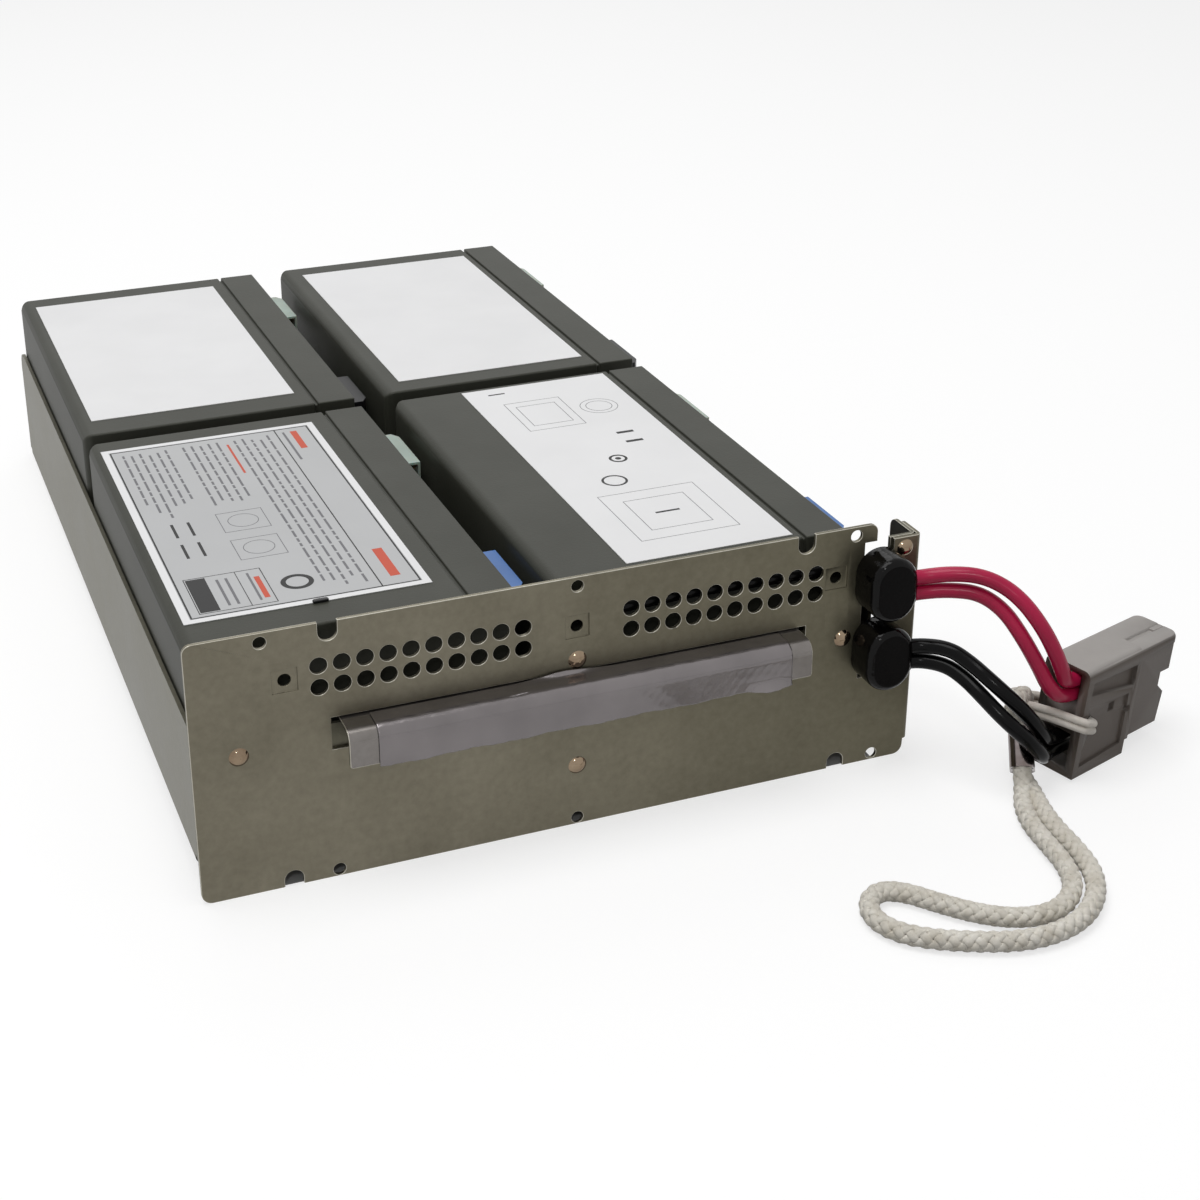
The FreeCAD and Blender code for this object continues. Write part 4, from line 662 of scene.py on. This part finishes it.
# a closed rounded block: latitude and longitude swing its three half sizes by squared sines and cosines
def roundedBlock(name, centre, facts):
    square, (wide, deep, high) = facts["square"], facts["half"]
    latitude = np.linspace(-np.pi / 2, np.pi / 2, facts["rings"])[:, None]
    longitude = np.linspace(0, 2 * np.pi, facts["columns"] + 1)[None, :]
    flat = squared(np.cos(latitude), square)
    points = np.stack([wide * flat * squared(np.cos(longitude), square),
                       deep * flat * squared(np.sin(longitude), square),
                       high * squared(np.sin(latitude), square) + 0 * longitude], -1)
    mesh = gridMesh(name, points * mm + centre)
    cleanMesh(mesh)
    smoothMesh(mesh, facts["smooth"])
    return mesh


# the small dark clip that holds the front edge of the front left label
def makeClip():
    low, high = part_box("label_front_left")
    centre = np.array([low.x + clip["along"] * mm, low.y + clip["front"] * mm, high.z + clip["rise"] * mm])
    newPiece("labelClip", roundedBlock("labelClip", centre, clip), blackVinyl)


makeClip()


# cords

# the corner at the connector's rear, far side and foot in panel millimetres, and its turns in degrees
connector = {"right": 254.27, "front": 19.9, "rise": 2.0, "yaw": 20.1, "dip": 2.5, "lean": 2.9}


def turnAbout(axis, degrees):
    return np.array(Matrix.Rotation(math.radians(degrees), 3, axis))


connectorTurn = (turnAbout("Z", connector["yaw"]) @ turnAbout("Y", connector["dip"])
                 @ turnAbout("X", connector["lean"]))
connectorCorner = np.array([connector["right"], -connector["front"], connector["rise"]])


# a point of the connector, from its rear, far side and foot, in panel millimetres
def connectorPoint(along, nearward, up):
    return tuple(connectorCorner + connectorTurn @ np.array([along, -nearward, up]))


slotKey = {
    "far": 8.15, "near": 10.05, "foot": 33.9, "along": (28.3, 41.6, 42.0, 47.1),
    "top": (35.3, 35.3, 35.95, 35.95), "edge": 0.12, "edgeSteps": 2,
}


# the pale key in the groove on the connector's nose: a box section carried along the groove, with
# its top a little lower over the first stretch
def makeSlotKey():
    along, top = np.array(slotKey["along"]), np.array(slotKey["top"])
    foot = np.full_like(top, slotKey["foot"])
    far, near = np.full_like(top, slotKey["far"]), np.full_like(top, slotKey["near"])
    section = np.stack([np.stack([along, side, level], -1) for side, level in (
        (far, foot), (near, foot), (near, top), (far, top), (far, foot))], 1)
    local = section * np.array([1, -1, 1]) @ connectorTurn.T
    mesh = gridMesh("connectorKey", (local + connectorCorner) * mm + fromPanel(0, 0, 0))
    cleanMesh(mesh, ends=True)
    piece = newPiece("connectorKey", mesh, connectorPlastic)
    bevel = piece.modifiers.new("edges", "BEVEL")
    bevel.width, bevel.segments = slotKey["edge"] * mm, slotKey["edgeSteps"]


makeSlotKey()


# a smooth curve whose control points are the route, in panel millimetres
def makeCurve(name, points, thickness=0.0):
    curve = bpy.data.curves.new(name, "CURVE")
    curve.dimensions = "3D"
    spline = curve.splines.new("NURBS")
    spline.points.add(len(points) - 1)
    for point, place in zip(spline.points, points):
        point.co = (*fromPanel(*place), 1)
    spline.order_u = 3
    spline.use_endpoint_u = True
    curve.resolution_u = 16
    if thickness:
        curve.bevel_depth = thickness * mm / 2
        curve.bevel_resolution = 8
        curve.use_fill_caps = True
    piece = bpy.data.objects.new(name, curve)
    bpy.context.scene.collection.objects.link(piece)
    return piece


# evenly spaced points, in metres, along the route's smooth curve, and how far along each lies
def pathOf(points, spacing):
    guide = makeCurve("guide", points)
    mesh = bpy.data.meshes.new_from_object(guide)
    line = np.empty(len(mesh.vertices) * 3)
    mesh.vertices.foreach_get("co", line)
    line = line.reshape(-1, 3)
    bpy.data.objects.remove(guide)
    travelled = np.concatenate([[0], np.cumsum(np.linalg.norm(np.diff(line, axis=0), axis=1))])
    places = np.linspace(0, travelled[-1], int(travelled[-1] / (spacing * mm)))
    return np.stack([np.interp(places, travelled, line[:, axis]) for axis in range(3)], 1), places


# two cross directions that turn as little as possible along the path
def crossDirections(path):
    tangents = np.gradient(path, axis=0)
    tangents /= np.linalg.norm(tangents, axis=1)[:, None]
    side = np.cross(tangents[0], [0.3, 0.2, 1.0])
    sides = np.empty_like(path)
    for index, tangent in enumerate(tangents):
        side = side - tangent * (side @ tangent)
        side /= np.linalg.norm(side)
        sides[index] = side
    return sides, np.cross(tangents, sides)


# a cord whose piece is the curve itself
def layCord(name, node, route, thickness, material, slot, **facts):
    piece = makeCurve(name, route, thickness)
    piece.data.materials.append(material)
    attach(piece, "root")
    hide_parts(node)
    length = pathOf(route, 0.5)[1][-1]


cables = {
    "diameter": 4.7, "outlet": panelWide - 6.0, "outletReach": 6.0, "lead": 3.5, "entry": 6.0,
    "upperLevel": 61.5, "lowerLevel": 38.5, "spread": 0.53,
}
spread = cables["diameter"] * cables["spread"]
redCable, blackCable = (redInsulation, "red_insulation"), (blackInsulation, "black_insulation")
cableRoutes = {
    "red_cable_upper": (cables["upperLevel"] + spread, [
        (4.1, -10.0, 65.6), (11.4, -14.5, 65.8), (17.2, -19.0, 63.4), (21.3, -24.0, 59.4),
        (25.1, -28.5, 52.9), (28.0, -31.5, 46.2), (30.8, -32.7, 39.0)], (10.3, 32.1), redCable),
    "red_cable_lower": (cables["upperLevel"] - spread, [
        (4.9, -10.0, 60.1), (12.0, -14.5, 59.8), (17.6, -19.5, 55.5), (20.9, -25.0, 48.8),
        (24.6, -29.0, 40.6), (27.7, -31.6, 33.0)], (10.0, 27.1), redCable),
    "black_cable_upper": (cables["lowerLevel"] + spread, [
        (4.3, -12.5, 41.8), (8.3, -18.5, 39.0), (10.7, -24.5, 36.4), (14.6, -29.5, 32.3),
        (18.8, -32.4, 27.7), (23.4, -33.4, 21.9), (27.3, -32.3, 16.9)], (8.3, 11.9), blackCable),
    "black_cable_lower": (cables["lowerLevel"] - spread, [
        (3.7, -12.3, 36.2), (6.7, -18.4, 34.1), (8.7, -25.2, 31.2), (11.5, -31.1, 27.2),
        (15.2, -35.3, 23.2), (19.9, -37.3, 18.5), (25.3, -35.9, 12.4)], (6.8, 6.1), blackCable),
}


# the four cables between the boots and the connector's rear
def makeCables():
    outlet, reach, lead = cables["outlet"], -cables["outletReach"], cables["lead"]
    for node, (level, middle, place, (material, slot)) in cableRoutes.items():
        route = [(outlet, reach, level), (outlet + lead, reach, level)] + fromRightFoot(middle)
        route += [connectorPoint(along, *place) for along in (-lead, cables["entry"])]
        height = "upper" if slot == "red_insulation" else "lower"
        layCord(node.replace("_", "."), node, route, cables["diameter"], material, slot,
                far_end="connector", stiffness="medium", lay="loose",
                with_pieces=[bpy.data.objects["connectorHousing"], bpy.data.objects[height + "Boot"],
                             nodes[height + "_contact"]])


makeCables()
print("cables laid")

rope = {
    "diameter": 5.9, "strands": 4, "lay": 14.0, "middle": 2.06, "weave": 0.24,
    "strandWide": 1.22, "strandThick": 0.66, "sides": 9, "spacing": 0.45, "core": 1.9, "coreSides": 10,
    "mouth": 2.0, "tail": 0.4, "above": 0.1, "strandShift": (1.43, 1.80, -2.0),
    "sleeveFoot": (21.4, -31.0, 6.1), "sleeveHead": (24.7, -23.5, 15.2), "landing": (17.4, -38.0, 3.6),
    "loop": (
        (13.6, -43.5), (9.9, -53.0), (8.7, -64.0), (7.4, -75.0), (3.6, -84.2), (-3.7, -90.6),
        (-12.7, -92.4), (-21.2, -90.0), (-28.6, -84.6), (-35.4, -77.0), (-41.0, -69.6), (-47.4, -66.0),
        (-53.4, -69.6), (-55.6, -76.8), (-52.8, -84.4), (-45.6, -90.6), (-35.8, -95.6), (-25.0, -99.8),
        (-13.4, -100.6), (-2.2, -97.4), (7.0, -90.0), (12.8, -80.2), (14.9, -68.8), (15.6, -57.4),
        (17.6, -47.0), (20.6, -37.6),
    ),
    "eye": ((-1.6, -4.0, 15.6), (-1.4, -4.2, 22.0), (-11.4, -1.0, 22.4), (-11.8, -0.6, 18.6)),
}


# out of the sleeve, flat on the floor, back through the sleeve and round the eye
def ropeRoute():
    foot, head = (np.array(place) for place in fromRightFoot([rope["sleeveFoot"], rope["sleeveHead"]]))
    shift = np.array(rope["strandShift"])
    lying = rope["diameter"] / 2 + rope["above"]
    along = (head - foot) / np.linalg.norm(head - foot)
    mouth, tail = along * rope["mouth"], along * rope["tail"]
    middle = (foot + head) / 2 - shift
    route = [middle - tail, foot - shift - mouth]
    route += fromRightFoot([rope["landing"]] + [(x, y, lying) for x, y in rope["loop"]])
    route += [foot + shift - mouth, foot + shift + mouth, head + shift - mouth, head + shift + mouth]
    route += [connectorPoint(*place) for place in rope["eye"]]
    route += [head - shift + mouth, middle + tail]
    return [tuple(point) for point in route]


# strands that wind both ways round the path: each strand's distance from the middle swings with
# the cosine of its winding, so that it passes over and under the strands that it crosses
def braidGrids(path, places, facts):
    sides, ups = crossDirections(path)
    corner = np.linspace(0, 2 * np.pi, facts["sides"], endpoint=False)
    wide, thick = facts["strandWide"] * mm, facts["strandThick"] * mm
    wound = 2 * np.pi * places / (facts["lay"] * mm)
    grids = []
    for direction in (1, -1):
        away = (facts["middle"] + direction * np.cos(facts["strands"] * wound) * facts["weave"]) * mm
        for strand in range(facts["strands"]):
            angle = direction * wound + 2 * np.pi * strand / facts["strands"]
            out = np.cos(angle)[:, None] * sides + np.sin(angle)[:, None] * ups
            centre = path + out * away[:, None]
            along = np.gradient(centre, axis=0)
            along /= np.linalg.norm(along, axis=1)[:, None]
            across = np.cross(out, along)
            grids.append(centre[:, None, :] + np.cos(corner)[None, :, None] * across[:, None, :] * wide
                         + np.sin(corner)[None, :, None] * out[:, None, :] * thick)
    corner = np.linspace(0, 2 * np.pi, facts["coreSides"], endpoint=False)
    grids.append(path[:, None, :] + facts["core"] * mm * (
        np.cos(corner)[None, :, None] * sides[:, None, :] + np.sin(corner)[None, :, None] * ups[:, None, :]))
    return grids


# one mesh of several tubes, with a map that runs round and along each tube
def joinTubes(name, grids, travelled):
    points, faces, maps, offset = [], [], [], 0
    for grid in grids:
        rows, columns = grid.shape[:2]
        index = np.arange(rows * columns).reshape(rows, columns) + offset
        near, far = index[:-1], index[1:]
        faces.append(np.stack([near, far, np.roll(far, -1, 1), np.roll(near, -1, 1)], -1).reshape(-1, 4))
        around = np.broadcast_to(np.arange(columns) / columns, (rows - 1, columns))
        start = np.broadcast_to(travelled[:-1, None], (rows - 1, columns))
        end = np.broadcast_to(travelled[1:, None], (rows - 1, columns))
        step = 1 / columns
        maps.append(np.stack([around, start, around, end, around + step, end, around + step, start], -1))
        points.append(grid.reshape(-1, 3))
        offset += rows * columns
    mesh = bpy.data.meshes.new(name)
    mesh.from_pydata(np.concatenate(points).tolist(), [], np.concatenate(faces).tolist())
    layer = mesh.uv_layers.new(name="along")
    layer.data.foreach_set("uv", np.concatenate([each.reshape(-1) for each in maps]).astype(np.float32))
    cleanMesh(mesh, merge=False)
    smoothMesh(mesh)
    return mesh


def makeRope():
    path, places = pathOf(ropeRoute(), rope["spacing"])
    mesh = joinTubes("pullRope", braidGrids(path, places, rope), places)
    piece = newPiece("pullRope", mesh, ropeYarn, ["pull_rope"])


makeRope()
print("rope braided")

# the heights of a turn of the tie cord are counted from its level in the connector's hole
tieCord = {
    "diameter": 2.4, "start": (3.4, -5.6, 19.2), "levels": (18.75, 16.3),
    "turn": ((1.3, -8.5, 0.7), (-2.9, -8.9, 0.9), (-6.2, -5.6, 1.1), (-5.4, 8.0, 3.7), (-1.3, 17.6, 2.6),
             (1.2, 17.4, 1.5), (5.6, 17.6, 0.0), (5.6, -1.9, 0.0), (3.6, -5.1, 0.2)),
}


# two turns of thin cord through the rope's eye and the hole in the connector
def makeTieCord():
    turns = [tieCord["start"]]
    for level in tieCord["levels"]:
        turns += [(along, nearward, level + up) for along, nearward, up in tieCord["turn"]]
    layCord("tieCord", "tie_cord", [connectorPoint(*turn) for turn in turns], tieCord["diameter"], cordYarn,
            "white_cord", far_end="bare", stiffness="limp", lay="taut")


makeTieCord()
print("tie cord wound")


# floor, light and camera

stage = {
    "reach": 8.0, "traySlope": 11.0, "trayEnd": 318.4, "colour": 0.82, "bounce": 0.35,
    "whiteShare": 0.55, "white": 1.22, "surround": 0.32, "inset": 12.0,
}


# one for rays from the camera, and for those that metal and film reflect or let through
def showsWhite(tree):
    rays = tree.nodes.new("ShaderNodeLightPath")
    total = rays.outputs["Is Camera Ray"]
    for output in ("Is Glossy Ray", "Is Transmission Ray"):
        add = tree.nodes.new("ShaderNodeMath")
        add.operation = "MAXIMUM"
        tree.links.new(total, add.inputs[0])
        tree.links.new(rays.outputs[output], add.inputs[1])
        total = add.outputs[0]
    return total


def floorMaterial():
    material = bpy.data.materials.new("paleFloor")
    material.use_nodes = True
    tree = material.node_tree
    tree.nodes.clear()
    seen = showsWhite(tree)
    output = addNode(material, "ShaderNodeOutputMaterial")
    matt = addNode(material, "ShaderNodeBsdfDiffuse")
    wire(material, mixColours(material, seen, (stage["bounce"],) * 3, (stage["colour"],) * 3),
         matt.inputs["Color"])
    glow = addNode(material, "ShaderNodeEmission", Strength=stage["white"])
    share = addNode(material, "ShaderNodeMath", operation="MULTIPLY")
    share.inputs[1].default_value = stage["whiteShare"]
    mix = addNode(material, "ShaderNodeMixShader")
    wire(material, seen, share.inputs[0])
    wire(material, share.outputs[0], mix.inputs["Fac"])
    wire(material, matt.outputs[0], mix.inputs[1])
    wire(material, glow.outputs[0], mix.inputs[2])
    wire(material, mix.outputs[0], output.inputs["Surface"])
    return material


# a pale floor that rises along the tray to its underside and stays level behind it; the part that the tray
# covers is a plain darker grey, painted shade under the tray
def makeFloor():
    inset = stage["inset"] * mm
    ys = np.array([-stage["reach"], panelLow.y + mm, panelLow.y + stage["trayEnd"] * mm, stage["reach"]])
    rise = np.array([0.0, 0.0, 1.0, 1.0]) * stage["traySlope"] * mm
    xs = np.array([-stage["reach"], panelLow.x + inset, panelHigh.x - inset, stage["reach"]])
    points = np.stack([np.broadcast_to(xs, (4, 4)), np.broadcast_to(ys[:, None], (4, 4)),
                       np.broadcast_to(rise[:, None], (4, 4))], -1)
    floor = bpy.data.objects.new("floor", gridMesh("floor", points))
    floor.data.materials.append(floorMaterial())
    # painted shade: a darker grey floor under the tray
    underTrayShade = newMaterial("underTrayShadeFloor", colour=(stage["bounce"],) * 3, rough=0.9, shine=0.0)
    floor.data.materials.append(underTrayShade)
    floor.data.polygons[4].material_index = 1
    bpy.context.scene.collection.objects.link(floor)


# a soft grey surround that the camera and reflections see as white
def makeWorld():
    world = bpy.data.worlds.new("surround")
    bpy.context.scene.world = world
    world.use_nodes = True
    tree = world.node_tree
    strength = tree.nodes.new("ShaderNodeMapRange")
    strength.inputs["To Min"].default_value = stage["surround"]
    strength.inputs["To Max"].default_value = 1.0
    tree.links.new(showsWhite(tree), strength.inputs["Value"])
    tree.nodes["Background"].inputs["Color"].default_value = (1, 1, 1, 1)
    tree.links.new(strength.outputs["Result"], tree.nodes["Background"].inputs["Strength"])


lamps = {
    "key": {"at": (-0.3, -0.1, 1.5), "size": 0.9, "watts": 12.3},
    "fill": {"at": (-0.45, -1.2, 1.0), "size": 0.16, "watts": 2.4},
    "back": {"at": (0.25, 1.0, 1.2), "size": 0.9, "watts": 3.0},
}


# soft lamps that all face the frame's origin
def makeLamps():
    for name, facts in lamps.items():
        light = bpy.data.lights.new(name, "AREA")
        light.energy, light.size = facts["watts"], facts["size"]
        lamp = bpy.data.objects.new(name, light)
        lamp.location = facts["at"]
        lamp.rotation_euler = (-Vector(facts["at"])).to_track_quat("-Z", "Y").to_euler()
        bpy.context.scene.collection.objects.link(lamp)


# where the camera stands in panel millimetres, its angles in degrees, and its lens and the middle of its
# view in pixels of the picture
view = {
    "at": (-79.872, -473.61, 334.119), "azimuth": 20.571, "elevation": 23.177, "roll": -0.524,
    "focal": 2036.586, "centre": (528.952, 464.267), "picture": 1200, "sensor": 36,
}


# the camera of the photograph, placed from the panel's corner
def makeCamera():
    azimuth, elevation, roll = (math.radians(view[key]) for key in ("azimuth", "elevation", "roll"))
    forward = np.array([math.sin(azimuth) * math.cos(elevation), math.cos(azimuth) * math.cos(elevation),
                        -math.sin(elevation)])
    level = np.array([math.cos(azimuth), -math.sin(azimuth), 0])
    upright = np.cross(level, forward)
    right = level * math.cos(roll) + upright * math.sin(roll)
    up = -level * math.sin(roll) + upright * math.cos(roll)
    data = bpy.data.cameras.new("camera")
    camera = bpy.data.objects.new("camera", data)
    bpy.context.scene.collection.objects.link(camera)
    turn = Matrix([right, up, -forward]).transposed().to_4x4()
    turn.translation = fromPanel(*view["at"])
    camera.matrix_world = turn
    data.sensor_fit, data.sensor_width = "HORIZONTAL", view["sensor"]
    data.lens = view["focal"] / view["picture"] * view["sensor"]
    data.shift_x = 0.5 - view["centre"][0] / view["picture"]
    data.shift_y = view["centre"][1] / view["picture"] - 0.5
    data.clip_start, data.clip_end = 0.01, 50
    bpy.context.scene.camera = camera


makeFloor()
makeWorld()
makeLamps()
makeCamera()
bpy.context.scene.view_settings.view_transform = "Standard"
print("floor, lamps and camera placed")
